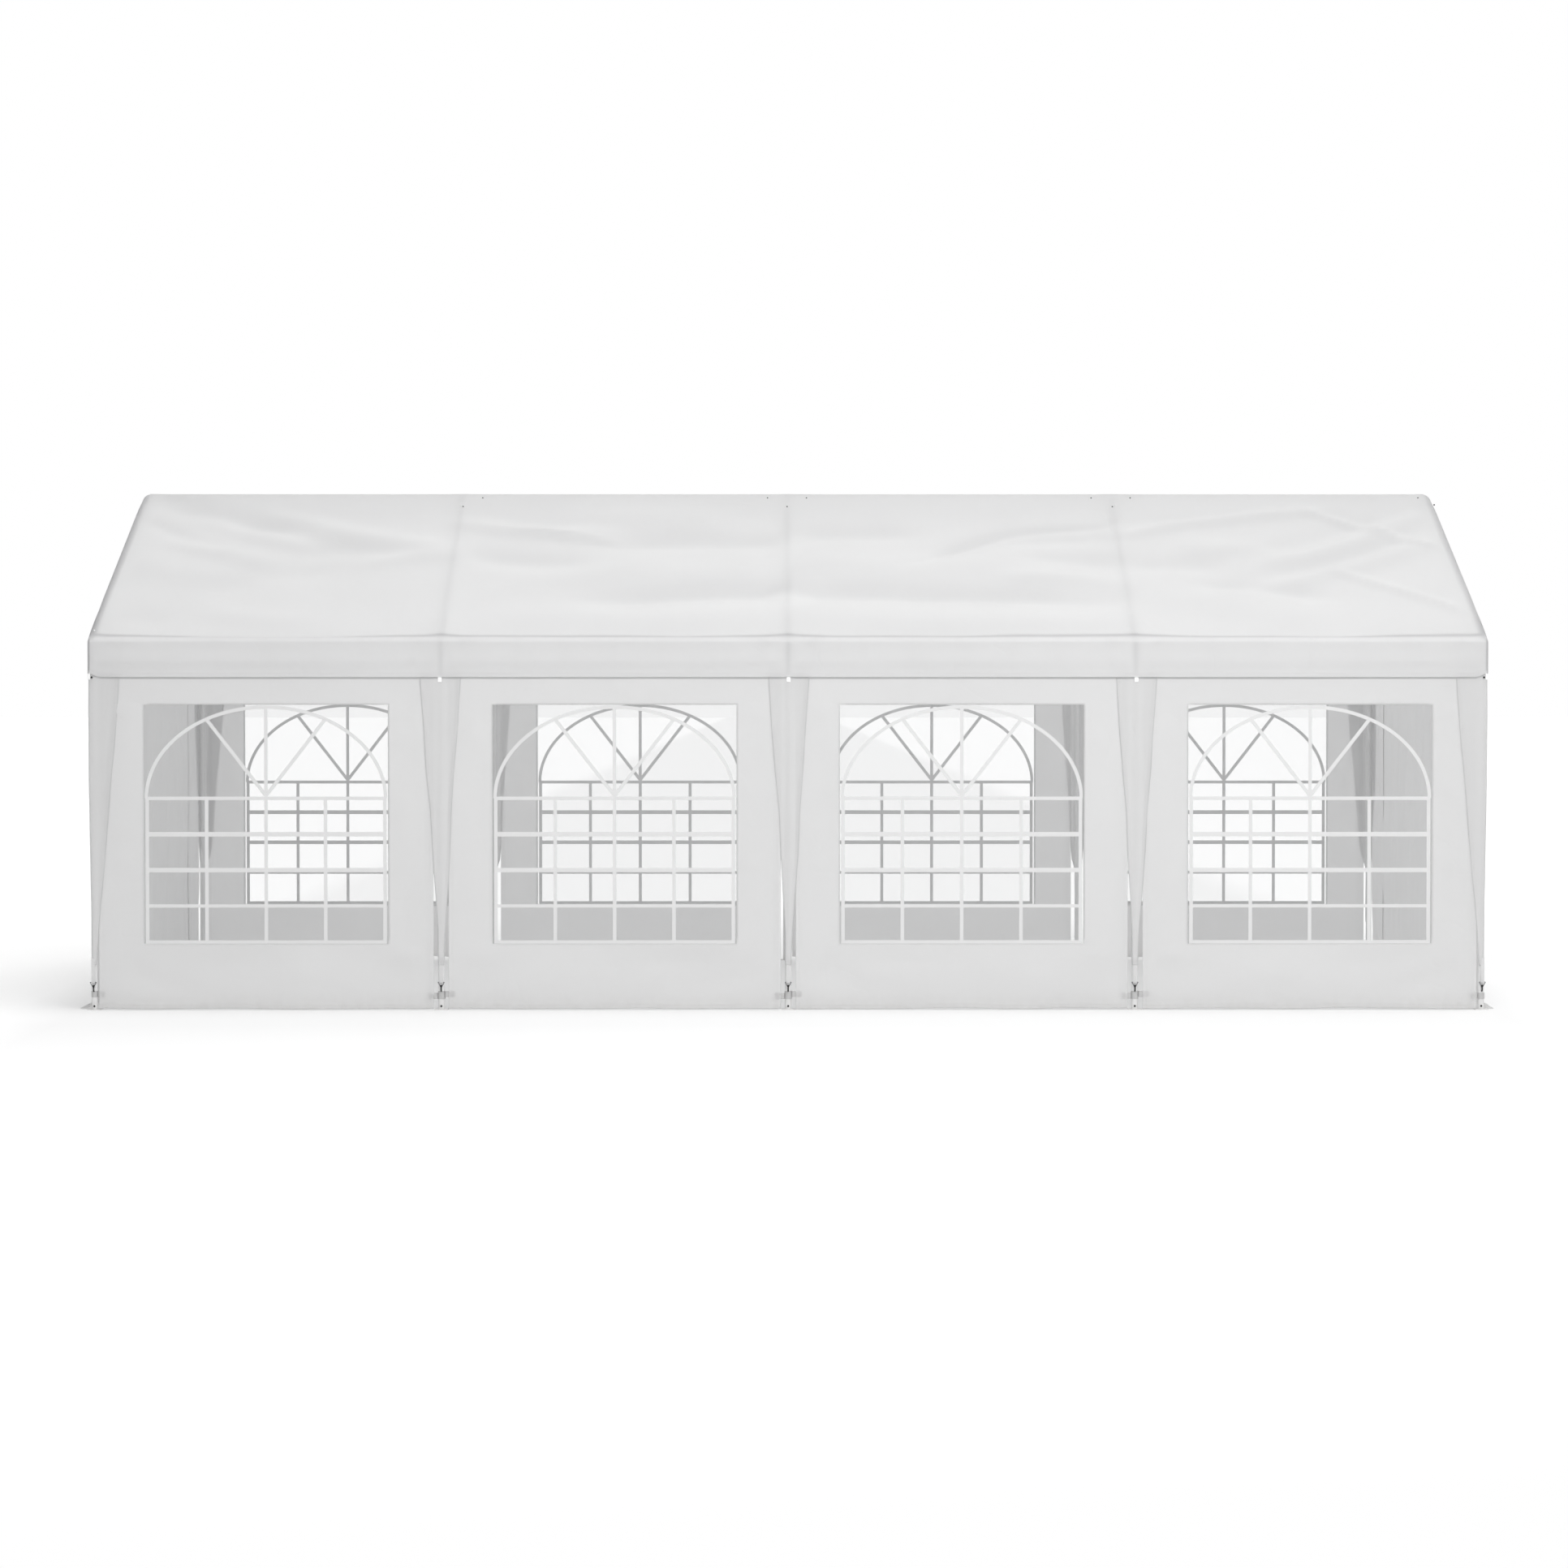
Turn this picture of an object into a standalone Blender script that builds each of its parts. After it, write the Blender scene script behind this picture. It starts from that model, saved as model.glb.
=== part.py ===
"""Marquee tent, 4 m by 8 m: a white steel tube frame under a one-piece roof cover, with window walls along
both sides and zipped doors in both ends.

Metres, +Z up. +X runs along the ridge and -Y is the front. The origin lies on the ground, under the middle.
"""

import math

import bmesh
import bpy
from mathutils import Vector

# Frame lines, from post centre to post centre
BAY = 2.0
BAYS = 4
HALF_LENGTH = BAY * BAYS / 2
HALF_WIDTH = 2.0
EAVE_Z = 2.121
RIDGE_Z = 3.055
SLOPE = math.atan2(RIDGE_Z - EAVE_Z, HALF_WIDTH)
# The frames beside the middle one lean out by this much at the ridge
RIDGE_LEAN = 0.035

# Steel tubes, the connectors that join them, and the feet
TUBE_RADIUS = 0.019
SLEEVE_RADIUS = 0.0215
ARM_RADIUS = 0.0213
SLEEVE_REACH = 0.235
TUBE_SIDES = 16
FOOT_SIZE = 0.078
FOOT_THICKNESS = 0.004

# Fabric, built as a skin of this thickness, and the gap left between pieces that touch
SKIN = 0.003
GAP = 0.0003

# Distances of the fabric layers out from the post lines: wall, then post cover, then valance
WALL_IN = SLEEVE_RADIUS + GAP
POST_COVER_IN = WALL_IN + SKIN + GAP
VALANCE_IN = POST_COVER_IN + SKIN + GAP
COVER_OUT = VALANCE_IN + SKIN

# Roof cover
SLOPE_OUT = SLEEVE_RADIUS + 0.0005 + SKIN
VALANCE_Z = 1.917
EDGE_ROUND = 0.018
ROUND_STEPS = 5

# Wall panels along the sides
WALL_TOP = EAVE_Z + 0.002
WALL_BOTTOM = FOOT_THICKNESS + GAP
WALL_EDGE = 0.043
WALL_END_EDGE = 0.030
WINDOW_WIDTH = 1.405
WINDOW_SILL = 0.382
WINDOW_HEAD = 1.759

# End walls: their lower edge turns out over the ground
END_WALL_EDGE = 0.035
DOOR_HALF_WIDTH = 1.55
DOOR_TOP = 1.98
FLARE_ROUND = 0.045
FLARE_REACH = 0.07

# Post covers: height, and half the width over a middle post or the reach from a corner post
POST_COVER_TOP = EAVE_Z - 0.014
MIDDLE_COVER = [(POST_COVER_TOP, 0.118), (1.65, 0.105), (0.26, 0.0165)]
CORNER_COVER = [(POST_COVER_TOP, 0.156), (1.48, 0.132), (0.60, 0.042), (0.26, 0.033)]


def make_material(name, color, roughness, metallic=0.0, alpha=1.0):
    material = bpy.data.materials.new(name)
    material.use_nodes = True
    shader = material.node_tree.nodes["Principled BSDF"]
    shader.inputs["Base Color"].default_value = (*color, 1.0)
    shader.inputs["Roughness"].default_value = roughness
    shader.inputs["Metallic"].default_value = metallic
    shader.inputs["Alpha"].default_value = alpha
    return material


def add_object(name, bm, material, smooth_below=30):
    """A new object from this bmesh, shaded smooth over edges blunter than the angle in degrees."""
    mesh = bpy.data.meshes.new(name)
    bm.to_mesh(mesh)
    bm.free()
    mesh.shade_smooth()
    mesh.set_sharp_from_angle(angle=math.radians(smooth_below))
    mesh.materials.append(material)
    obj = bpy.data.objects.new(name, mesh)
    bpy.context.scene.collection.objects.link(obj)
    return obj


def rod(name, start, end, radius, material):
    """A closed round rod from start to end."""
    start, end = Vector(start), Vector(end)
    run = end - start
    turn = Vector((0, 0, 1)).rotation_difference(run)
    bm = bmesh.new()
    bmesh.ops.create_cone(
        bm, cap_ends=True, segments=TUBE_SIDES, radius1=radius, radius2=radius, depth=run.length
    )
    bmesh.ops.rotate(bm, verts=bm.verts, cent=(0, 0, 0), matrix=turn.to_matrix())
    bmesh.ops.translate(bm, verts=bm.verts, vec=(start + end) / 2)
    return add_object(name, bm, material)


def fuse(obj, others):
    """Makes the others one body with obj and leaves them out of the render."""
    for other in others:
        other.hide_render = True
        other.display_type = "WIRE"
        union = obj.modifiers.new(other.name, "BOOLEAN")
        union.operation = "UNION"
        union.object = other


def frame_x(frame):
    """The place along the ridge of frame 0 to BAYS."""
    return -HALF_LENGTH + BAY * frame


def eave_point(frame, side):
    return Vector((frame_x(frame), side * HALF_WIDTH, EAVE_Z))


def ridge_point(frame):
    lean = {1: -RIDGE_LEAN, 3: RIDGE_LEAN}.get(frame, 0)
    return Vector((frame_x(frame) + lean, 0, RIDGE_Z))


def stepped_beam(name, points, material):
    """A tube along X that is thicker at each of these points, where a frame's connector holds it."""
    _, y, z = points[0]
    bm = bmesh.new()
    stations = [(-HALF_LENGTH, SLEEVE_RADIUS), (-HALF_LENGTH + SLEEVE_REACH, SLEEVE_RADIUS)]
    stations.append((-HALF_LENGTH + SLEEVE_REACH, TUBE_RADIUS))
    for point in points[1:-1]:
        left, right = point.x - SLEEVE_REACH, point.x + SLEEVE_REACH
        stations += [(left, TUBE_RADIUS), (left, SLEEVE_RADIUS), (right, SLEEVE_RADIUS), (right, TUBE_RADIUS)]
    stations.append((HALF_LENGTH - SLEEVE_REACH, TUBE_RADIUS))
    stations += [(HALF_LENGTH - SLEEVE_REACH, SLEEVE_RADIUS), (HALF_LENGTH, SLEEVE_RADIUS)]
    rings = [
        [bm.verts.new((x, y + radius * math.cos(turn), z + radius * math.sin(turn))) for turn in turns()]
        for x, radius in stations
    ]
    for near, far in zip(rings, rings[1:]):
        for i in range(TUBE_SIDES):
            bm.faces.new((near[i - 1], near[i], far[i], far[i - 1]))
    bm.faces.new(rings[0])
    bm.faces.new(rings[-1][::-1])
    bmesh.ops.recalc_face_normals(bm, faces=bm.faces)
    return add_object(name, bm, material)


def turns():
    return [2 * math.pi * side / TUBE_SIDES for side in range(TUBE_SIDES)]


def sleeve(name, centre, towards, material):
    """One arm of a connector, from its centre towards a point."""
    reach = (Vector(towards) - Vector(centre)).normalized() * SLEEVE_REACH
    return rod(name, centre, Vector(centre) + reach, ARM_RADIUS, material)


def eave_beam(side_name, side, material):
    points = [eave_point(frame, side) for frame in range(BAYS + 1)]
    beam = stepped_beam(f"eave_beam_{side_name}", points, material)
    arms = []
    for frame in range(BAYS + 1):
        centre = eave_point(frame, side)
        arms.append(sleeve(f"{beam.name}_post_arm_{frame}", centre, centre - Vector((0, 0, 1)), material))
        arms.append(sleeve(f"{beam.name}_rafter_arm_{frame}", centre, ridge_point(frame), material))
    for frame in (0, BAYS):
        centre, across = eave_point(frame, side), eave_point(frame, -side)
        arms.append(sleeve(f"{beam.name}_end_arm_{frame}", centre, across, material))
    fuse(beam, arms)


def ridge_beam(material):
    beam = stepped_beam("ridge_beam", [ridge_point(frame) for frame in range(BAYS + 1)], material)
    arms = [
        sleeve(f"ridge_arm_{frame}_{side}", ridge_point(frame), eave_point(frame, side), material)
        for frame in range(BAYS + 1)
        for side in (-1, 1)
    ]
    fuse(beam, arms)


def tube_between(name, start, end, material):
    """A tube that stops short of the connector arms at both ends."""
    short = (end - start).normalized() * (SLEEVE_REACH + GAP)
    return rod(name, start + short, end - short, TUBE_RADIUS, material)


def post(name, frame, side, material):
    """An upright tube on its square base plate."""
    x, y, _ = eave_point(frame, side)
    tube = rod(name, (x, y, FOOT_THICKNESS / 2), (x, y, EAVE_Z - SLEEVE_REACH - GAP), TUBE_RADIUS, material)
    bm = bmesh.new()
    bmesh.ops.create_cube(bm, size=1)
    bmesh.ops.scale(bm, verts=bm.verts, vec=(FOOT_SIZE, FOOT_SIZE, FOOT_THICKNESS))
    bmesh.ops.translate(bm, verts=bm.verts, vec=(x, y, FOOT_THICKNESS / 2))
    fuse(tube, [add_object(f"{name}_plate", bm, material)])


def skin_object(name, quads, outward, material):
    """A sheet of quads, thickened by SKIN on the side that outward(centre of the face) points to."""
    bm = bmesh.new()
    for quad in quads:
        bm.faces.new([bm.verts.new(corner) for corner in quad])
    bmesh.ops.remove_doubles(bm, verts=bm.verts, dist=1e-5)
    bm.normal_update()
    for face in bm.faces:
        if face.normal.dot(outward(face.calc_center_median())) < 0:
            face.normal_flip()
    sheet = add_object(name, bm, material)
    solidify = sheet.modifiers.new("Thickness", "SOLIDIFY")
    solidify.thickness = SKIN
    solidify.offset = 1
    solidify.use_even_offset = True
    return sheet


def strip_quads(rows):
    """The quads between neighbouring rows of points."""
    return [
        (upper[i], upper[i + 1], lower[i + 1], lower[i])
        for upper, lower in zip(rows, rows[1:])
        for i in range(len(upper) - 1)
    ]


def rectangle(x0, x1, z0, z1, y):
    return [(x0, y, z0), (x1, y, z0), (x1, y, z1), (x0, y, z1)]


def wall_and_window(side_name, side, bay, materials):
    """A side panel with a window hole, and the clear film that fills the hole."""
    y = side * (HALF_WIDTH + WALL_IN)
    left = frame_x(bay) + (WALL_END_EDGE if bay == 0 else WALL_EDGE)
    right = frame_x(bay + 1) - (WALL_END_EDGE if bay == BAYS - 1 else WALL_EDGE)
    middle = (left + right) / 2
    outer = rectangle(left, right, WALL_BOTTOM, WALL_TOP, y)
    hole = rectangle(middle - WINDOW_WIDTH / 2, middle + WINDOW_WIDTH / 2, WINDOW_SILL, WINDOW_HEAD, y)
    quads = [(outer[i - 1], outer[i], hole[i], hole[i - 1]) for i in range(4)]
    skin_object(f"wall_{side_name}_{bay + 1}", quads, lambda _: Vector((0, side, 0)), materials["wall"])
    half = WINDOW_WIDTH / 2 - GAP
    film = rectangle(middle - half, middle + half, WINDOW_SILL + GAP, WINDOW_HEAD - GAP, y)
    skin_object(f"window_{side_name}_{bay + 1}", [film], lambda _: Vector((0, side, 0)), materials["film"])


def end_path(top):
    """(distance out, height) down an end wall from its top to the turned-out lower edge."""
    path = [(0, top)]
    for step in range(ROUND_STEPS + 1):
        angle = math.pi / 2 * step / ROUND_STEPS
        out = FLARE_ROUND * (1 - math.cos(angle))
        path.append((out, WALL_BOTTOM + FLARE_ROUND * (1 - math.sin(angle))))
    path.append((FLARE_REACH, WALL_BOTTOM))
    return path


def end_wall_and_door(side_name, side, materials):
    """An end wall with its doorway, and the door panel that the zips hold in it."""
    plane = HALF_LENGTH + WALL_IN
    edge = HALF_WIDTH - END_WALL_EDGE

    def row(out, height, ys):
        return [(side * (plane + out), y, height) for y in ys]

    def outward(centre):
        return Vector((side, 0, 0)) + Vector((0, 0, 1)) * (centre.z < WALL_BOTTOM + FLARE_ROUND)

    header = [row(0, height, (-edge, -DOOR_HALF_WIDTH, DOOR_HALF_WIDTH, edge)) for height in (WALL_TOP, DOOR_TOP)]
    quads = strip_quads(header)
    for ys in ((-edge, -DOOR_HALF_WIDTH), (DOOR_HALF_WIDTH, edge)):
        quads += strip_quads([row(out, height, ys) for out, height in end_path(DOOR_TOP)])
    skin_object(f"end_wall_{side_name}", quads, outward, materials["wall"])
    door_ys = (-DOOR_HALF_WIDTH + GAP, DOOR_HALF_WIDTH - GAP)
    door = [row(out, height, door_ys) for out, height in end_path(DOOR_TOP - GAP)]
    skin_object(f"door_{side_name}", strip_quads(door), outward, materials["wall"])


def middle_post_cover(name, frame, side, material):
    x, y = frame_x(frame), side * (HALF_WIDTH + POST_COVER_IN)
    rows = [[(x - half, y, height), (x + half, y, height)] for height, half in MIDDLE_COVER]
    skin_object(name, strip_quads(rows), lambda _: Vector((0, side, 0)), material)


def corner_post_cover(name, frame, side, material):
    """A tail folded round a corner post, its fold concentric with the roof cover's corner."""
    end = 1 if frame else -1
    centre = COVER_OUT - EDGE_ROUND
    radius = POST_COVER_IN - centre
    fold = [math.pi / 2 * step / ROUND_STEPS for step in range(ROUND_STEPS + 1)]
    rows = []
    for height, reach in CORNER_COVER:
        local = [(-reach, POST_COVER_IN)]
        local += [(centre + radius * math.sin(turn), centre + radius * math.cos(turn)) for turn in fold]
        local.append((POST_COVER_IN, -reach))
        rows.append([(end * (HALF_LENGTH + a), side * (HALF_WIDTH + b), height) for a, b in local])

    def outward(centre):
        return Vector((end * (abs(centre.x) - HALF_LENGTH > 0), side * (abs(centre.y) - HALF_WIDTH > 0), 0))

    skin_object(name, strip_quads(rows), outward, material)


def roof_outline(inset):
    """(y, z) round the cover's outside, from the front valance's hem over the ridge to the back one's, with
    every point moved in by the inset."""
    half = []
    for step in range(ROUND_STEPS + 1):
        turn = SLOPE * step / ROUND_STEPS
        radius = SLOPE_OUT - inset
        half.append((radius * math.sin(turn), RIDGE_Z + radius * math.cos(turn)))
    radius = COVER_OUT - inset
    centre_z = EAVE_Z - (COVER_OUT - SLOPE_OUT) / math.cos(SLOPE)
    for step in range(ROUND_STEPS + 1):
        turn = SLOPE + (math.pi / 2 - SLOPE) * step / ROUND_STEPS
        half.append((HALF_WIDTH + radius * math.sin(turn), centre_z + radius * math.cos(turn)))
    half.append((HALF_WIDTH + radius, VALANCE_Z))
    return [(-y, z) for y, z in reversed(half[1:])] + half


def roof_cover(material):
    """One skin: two slopes, two upright gables and the valance all round, with rounded edges."""
    stations = []
    for step in range(ROUND_STEPS + 1):
        turn = math.pi / 2 * step / ROUND_STEPS
        x = HALF_LENGTH + COVER_OUT - EDGE_ROUND * (1 - math.cos(turn))
        stations.append((x, EDGE_ROUND * (1 - math.sin(turn))))
    stations = [(-x, inset) for x, inset in stations] + [(x, inset) for x, inset in reversed(stations)]
    bm = bmesh.new()
    loops = [[bm.verts.new((x, y, z)) for y, z in roof_outline(inset)] for x, inset in stations]
    for near, far in zip(loops, loops[1:]):
        for i in range(len(near) - 1):
            bm.faces.new((near[i], near[i + 1], far[i + 1], far[i]))
    bm.faces.new(loops[0])
    bm.faces.new(loops[-1][::-1])
    bmesh.ops.recalc_face_normals(bm, faces=bm.faces)
    top = max(bm.faces, key=lambda face: face.calc_center_median().z)
    if top.normal.z < 0:
        bmesh.ops.reverse_faces(bm, faces=bm.faces)
    cover = add_object("roof_cover", bm, material)
    solidify = cover.modifiers.new("Thickness", "SOLIDIFY")
    solidify.thickness = SKIN
    solidify.offset = -1
    solidify.use_even_offset = True


def build():
    for obj in list(bpy.data.objects):
        bpy.data.objects.remove(obj)
    tube = make_material("white_steel", (0.80, 0.80, 0.80), 0.35)
    materials = {
        "roof": make_material("roof_fabric", (0.86, 0.86, 0.86), 0.55),
        "wall": make_material("wall_fabric", (0.83, 0.83, 0.83), 0.55),
        "film": make_material("clear_film", (0.92, 0.94, 0.95), 0.12, alpha=0.25),
    }
    for side_name, side in (("front", -1), ("back", 1)):
        eave_beam(side_name, side, tube)
        for frame in range(BAYS + 1):
            post(f"post_{side_name}_{frame + 1}", frame, side, tube)
            tube_between(f"rafter_{side_name}_{frame + 1}", eave_point(frame, side), ridge_point(frame), tube)
            make_cover = corner_post_cover if frame in (0, BAYS) else middle_post_cover
            make_cover(f"post_cover_{side_name}_{frame + 1}", frame, side, materials["roof"])
        for bay in range(BAYS):
            wall_and_window(side_name, side, bay, materials)
    for side_name, side, frame in (("left", -1, 0), ("right", 1, BAYS)):
        tube_between(f"end_beam_{side_name}", eave_point(frame, -1), eave_point(frame, 1), tube)
        end_wall_and_door(side_name, side, materials)
    ridge_beam(tube)
    roof_cover(materials["roof"])


build()
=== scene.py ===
"""Looks of the marquee tent: one-piece cover, window walls and zipped doors over the white steel frame.

Metres, +Z up, in the CAD's frame. +X runs along the ridge and -Y is the front. Sides count -1 for the front
or the left end, and 1 for the back or the right end.
"""

from math import atan2, ceil, copysign, cos, exp, hypot, pi, radians, sin, tan

import bmesh
import bpy
from mathutils import Matrix, Vector, noise


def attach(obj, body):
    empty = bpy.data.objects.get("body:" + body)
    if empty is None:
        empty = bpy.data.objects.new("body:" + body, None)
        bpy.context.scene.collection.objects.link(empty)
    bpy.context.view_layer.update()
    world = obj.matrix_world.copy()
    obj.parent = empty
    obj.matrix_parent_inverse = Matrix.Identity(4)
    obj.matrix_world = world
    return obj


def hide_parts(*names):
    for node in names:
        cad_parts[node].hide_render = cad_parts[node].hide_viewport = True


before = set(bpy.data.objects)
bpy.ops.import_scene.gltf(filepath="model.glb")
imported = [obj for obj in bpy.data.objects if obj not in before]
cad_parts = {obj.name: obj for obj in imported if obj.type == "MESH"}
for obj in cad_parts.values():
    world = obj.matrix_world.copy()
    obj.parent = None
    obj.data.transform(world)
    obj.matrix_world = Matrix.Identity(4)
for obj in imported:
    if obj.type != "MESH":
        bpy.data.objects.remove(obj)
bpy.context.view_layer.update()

# Frame lines and tubes, as in the CAD
BAY = 2.0
BAYS = 4
HALF_LENGTH = BAY * BAYS / 2
HALF_WIDTH = 2.0
EAVE_Z = 2.121
RIDGE_Z = 3.055
SLOPE = atan2(RIDGE_Z - EAVE_Z, HALF_WIDTH)
SLOPE_COS = cos(SLOPE)
SLOPE_SIN = sin(SLOPE)
SLOPE_LENGTH = HALF_WIDTH / SLOPE_COS
RIDGE_LEAN = 0.035
TUBE_RADIUS = 0.019
SLEEVE_RADIUS = 0.0215
SIDES = (("front", -1), ("back", 1))
ENDS = (("left", -1), ("right", 1))

# Fabric: its thickness, and how far each layer's outer face stands out from the post lines
CLOTH = 0.0012
WALL_OUT = 0.0245
TAIL_OUT = 0.0280
COVER_OUT = 0.0314
SLOPE_OUT = 0.0250
END_FACE = HALF_LENGTH + COVER_OUT
SIDE_FACE = HALF_WIDTH + COVER_OUT

# Side walls and their windows
PANEL_TOP = 2.008
PANEL_BOTTOM = 0.0045
PANEL_EDGE = 0.043
PANEL_END_EDGE = 0.030
WINDOW_HALF = 1.405 / 2
WINDOW_SILL = 0.382
WINDOW_HEAD = 1.759
FILM = 0.0006
FILM_OVERLAP = 0.012
FILM_BEHIND = 0.0002
INK_BEFORE = 0.0001

# End walls and doors
END_EDGE = 1.965
DOOR_HALF_WIDTH = 1.55
DOOR_TOP = 1.98
FLARE_ROUND = 0.045
FLARE_REACH = 0.07

# Steps round a quarter bend of cloth, and flat sides round a wire
ROUND_STEPS = 6
WIRE_SIDES = 8


def metres(*rows):
    """Rows of millimetres as rows of metres."""
    return [tuple(number / 1000 for number in row) for row in rows]


# A hem's section in mm: distance in from the edge, and how far it stands proud there; the dip is the seam
HEM_SECTION = metres((0, 0.3), (3, 1.2), (17, 1.3), (20.5, 0.1), (23.5, 1.1), (27, 0))


def clamp(value, low=0.0, high=1.0):
    return min(max(value, low), high)


def smooth(t):
    """Eases from 0 to 1 as t goes from 0 to 1."""
    t = clamp(t)
    return t * t * (3 - 2 * t)


def bell(offset, width):
    """1 at no offset, and less on both sides of it."""
    return exp(-((offset / width) ** 2))


def along(section, distance):
    """The value of a list of (distance, value) pairs at this distance."""
    if distance <= section[0][0]:
        return section[0][1]
    for (near, value), (far, next_value) in zip(section, section[1:]):
        if distance <= far:
            return value + (next_value - value) * (distance - near) / (far - near)
    return section[-1][1]


def waves(u, v, length, seed):
    """Smooth noise, mostly from -0.5 to 0.5, whose bumps are about this long."""
    return noise.noise(Vector((u / length, v / length, 5.3 * seed)))


def stations(start, end, step, exact=()):
    """Places from start to end, at most step apart, that take in the exact ones."""
    marks = sorted({start, end, *[mark for mark in exact if start < mark < end]})
    places = [start]
    for near, far in zip(marks, marks[1:]):
        count = max(1, ceil((far - near) / step - 1e-6))
        places += [near + (far - near) * i / count for i in range(1, count + 1)]
    return places


def hem_stations(edge, inward):
    return [edge + inward * distance for distance, _ in HEM_SECTION]


def quarter_turns(start=0.0):
    """Angles from the start to a right angle."""
    return [start + (pi / 2 - start) * step / ROUND_STEPS for step in range(ROUND_STEPS + 1)]


def fold_height(u, v, folds, spread=1.0):
    """Height of soft folds, each given as its two ends, its middle's bow, its half width and its rise."""
    total = 0.0
    for u0, v0, u1, v1, bow, half_width, rise in folds:
        width = half_width * spread
        run_u = u1 - u0
        run_v = v1 - v0
        length = hypot(run_u, run_v)
        t = ((u - u0) * run_u + (v - v0) * run_v) / length**2
        if not -0.25 < t < 1.25:
            continue
        off = ((u - u0) * run_v - (v - v0) * run_u) / length - bow * sin(pi * clamp(t))
        if abs(off) < 2.6 * width:
            fade = smooth((t + 0.25) / 0.5) * smooth((1.25 - t) / 0.5)
            total += rise * fade * bell(off, width)
    return total


def frame_x(number):
    """Where a frame stands along the ridge, with frames counted from 0."""
    return -HALF_LENGTH + BAY * number


def outermost(number, way):
    """Whether this way along the ridge from a frame leads out of the tent."""
    return (number, way) in ((0, -1), (BAYS, 1))


# Materials


def add_node(tree, kind, inputs=None, **settings):
    """A new shader node with its settings, and its inputs linked or set."""
    made = tree.nodes.new("ShaderNode" + kind)
    for key, value in settings.items():
        setattr(made, key, value)
    for key, value in (inputs or {}).items():
        if isinstance(value, bpy.types.NodeSocket):
            tree.links.new(value, made.inputs[key])
        else:
            made.inputs[key].default_value = value
    return made


def maths(tree, operation, first, second=0.0):
    return add_node(tree, "Math", {0: first, 1: second}, operation=operation).outputs[0]


def between(tree, factor, first, second):
    """A value from first to second as the factor goes from 0 to 1."""
    return add_node(tree, "Mix", {0: factor, 2: first, 3: second}).outputs[0]


def mixed_colour(tree, factor, first, second):
    return add_node(tree, "Mix", {0: factor, 6: first, 7: second}, data_type="RGBA").outputs[2]


def ramp(tree, value, low, high, most=1.0):
    """Rises from 0 to the most as the value goes from low to high."""
    inputs = {"Value": value, "From Min": low, "From Max": high, "To Max": most}
    return add_node(tree, "MapRange", inputs).outputs[0]


def split(tree, vector):
    return add_node(tree, "SeparateXYZ", {0: vector}).outputs


def coordinates(tree, kind="Object"):
    return add_node(tree, "TexCoord").outputs[kind]


def clouds(tree, scale, detail, distortion=0.0):
    """Noise fixed to the piece."""
    inputs = {"Vector": coordinates(tree), "Scale": scale, "Detail": detail, "Distortion": distortion}
    return add_node(tree, "TexNoise", inputs).outputs[0]


def bumped(tree, height, distance, normal=None):
    inputs = {"Height": height, "Distance": distance, "Strength": 1.0}
    if normal:
        inputs["Normal"] = normal
    return add_node(tree, "Bump", inputs).outputs[0]


def new_group(name, label, value, results):
    """An empty shader group with one number input and its first value, and its number outputs."""
    tree = bpy.data.node_groups.new(name, "ShaderNodeTree")
    tree.interface.new_socket(label, in_out="INPUT", socket_type="NodeSocketFloat").default_value = value
    for result in results:
        tree.interface.new_socket(result, in_out="OUTPUT", socket_type="NodeSocketFloat")
    return tree, tree.nodes.new("NodeGroupInput").outputs[0], tree.nodes.new("NodeGroupOutput").inputs


def coated_weave_group():
    """Flat tapes woven over and under each other, as a height from 0 to 1, on faces that look any way."""
    tree, tape_width, result = new_group("coated weave", "Tape Width", 0.0025, ["Height"])
    x, y, z = split(tree, coordinates(tree))
    facing = split(tree, add_node(tree, "NewGeometry").outputs["Normal"])
    faces_end = maths(tree, "GREATER_THAN", maths(tree, "ABSOLUTE", facing[0]), 0.7)
    faces_up = maths(tree, "GREATER_THAN", maths(tree, "ABSOLUTE", facing[2]), 0.6)
    ways = [between(tree, faces_end, x, y), between(tree, faces_up, z, y)]
    across, upward = [maths(tree, "DIVIDE", way, tape_width) for way in ways]
    cells = maths(tree, "ADD", maths(tree, "FLOOR", across), maths(tree, "FLOOR", upward))
    over = maths(tree, "FLOORED_MODULO", cells, 2.0)
    turns = [maths(tree, "SINE", maths(tree, "MULTIPLY", way, pi)) for way in (across, upward)]
    crowns = [maths(tree, "ABSOLUTE", turn) for turn in turns]
    tree.links.new(between(tree, over, *crowns), result["Height"])
    return tree


def creases_group():
    """Faint creases left by packing and handling, as a height and as patches of tone, both from 0 to 1."""
    tree, scale, result = new_group("creases", "Scale", 2.0, ["Height", "Patches"])
    ridged = maths(tree, "ABSOLUTE", maths(tree, "SUBTRACT", clouds(tree, scale, 3.0, 0.6), 0.5))
    tree.links.new(maths(tree, "POWER", maths(tree, "MULTIPLY", ridged, 4.0), 0.5), result["Height"])
    tree.links.new(clouds(tree, 0.9, 2.0), result["Patches"])
    return tree


def ground_dust_group():
    """A mask for the dust that splashes up from the ground, 1 at the ground and 0 above the reach."""
    tree, reach, result = new_group("ground dust", "Reach", 0.15, ["Mask"])
    share = maths(tree, "DIVIDE", split(tree, coordinates(tree))[2], reach)
    near = maths(tree, "MAXIMUM", maths(tree, "SUBTRACT", 1.0, share), 0.0)
    mask = maths(tree, "MULTIPLY", maths(tree, "POWER", near, 2.0), clouds(tree, 24.0, 5.0))
    tree.links.new(mask, result["Mask"])
    return tree


WEAVE = coated_weave_group()
CREASES = creases_group()
GROUND_DUST = ground_dust_group()
DUST = (0.52, 0.50, 0.47, 1)
# Grey towards which painted shade darkens the fabric
SHADE_GREY = (0.44, 0.44, 0.45, 1)


def grey(level):
    return (level, level, level, 1)


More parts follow.
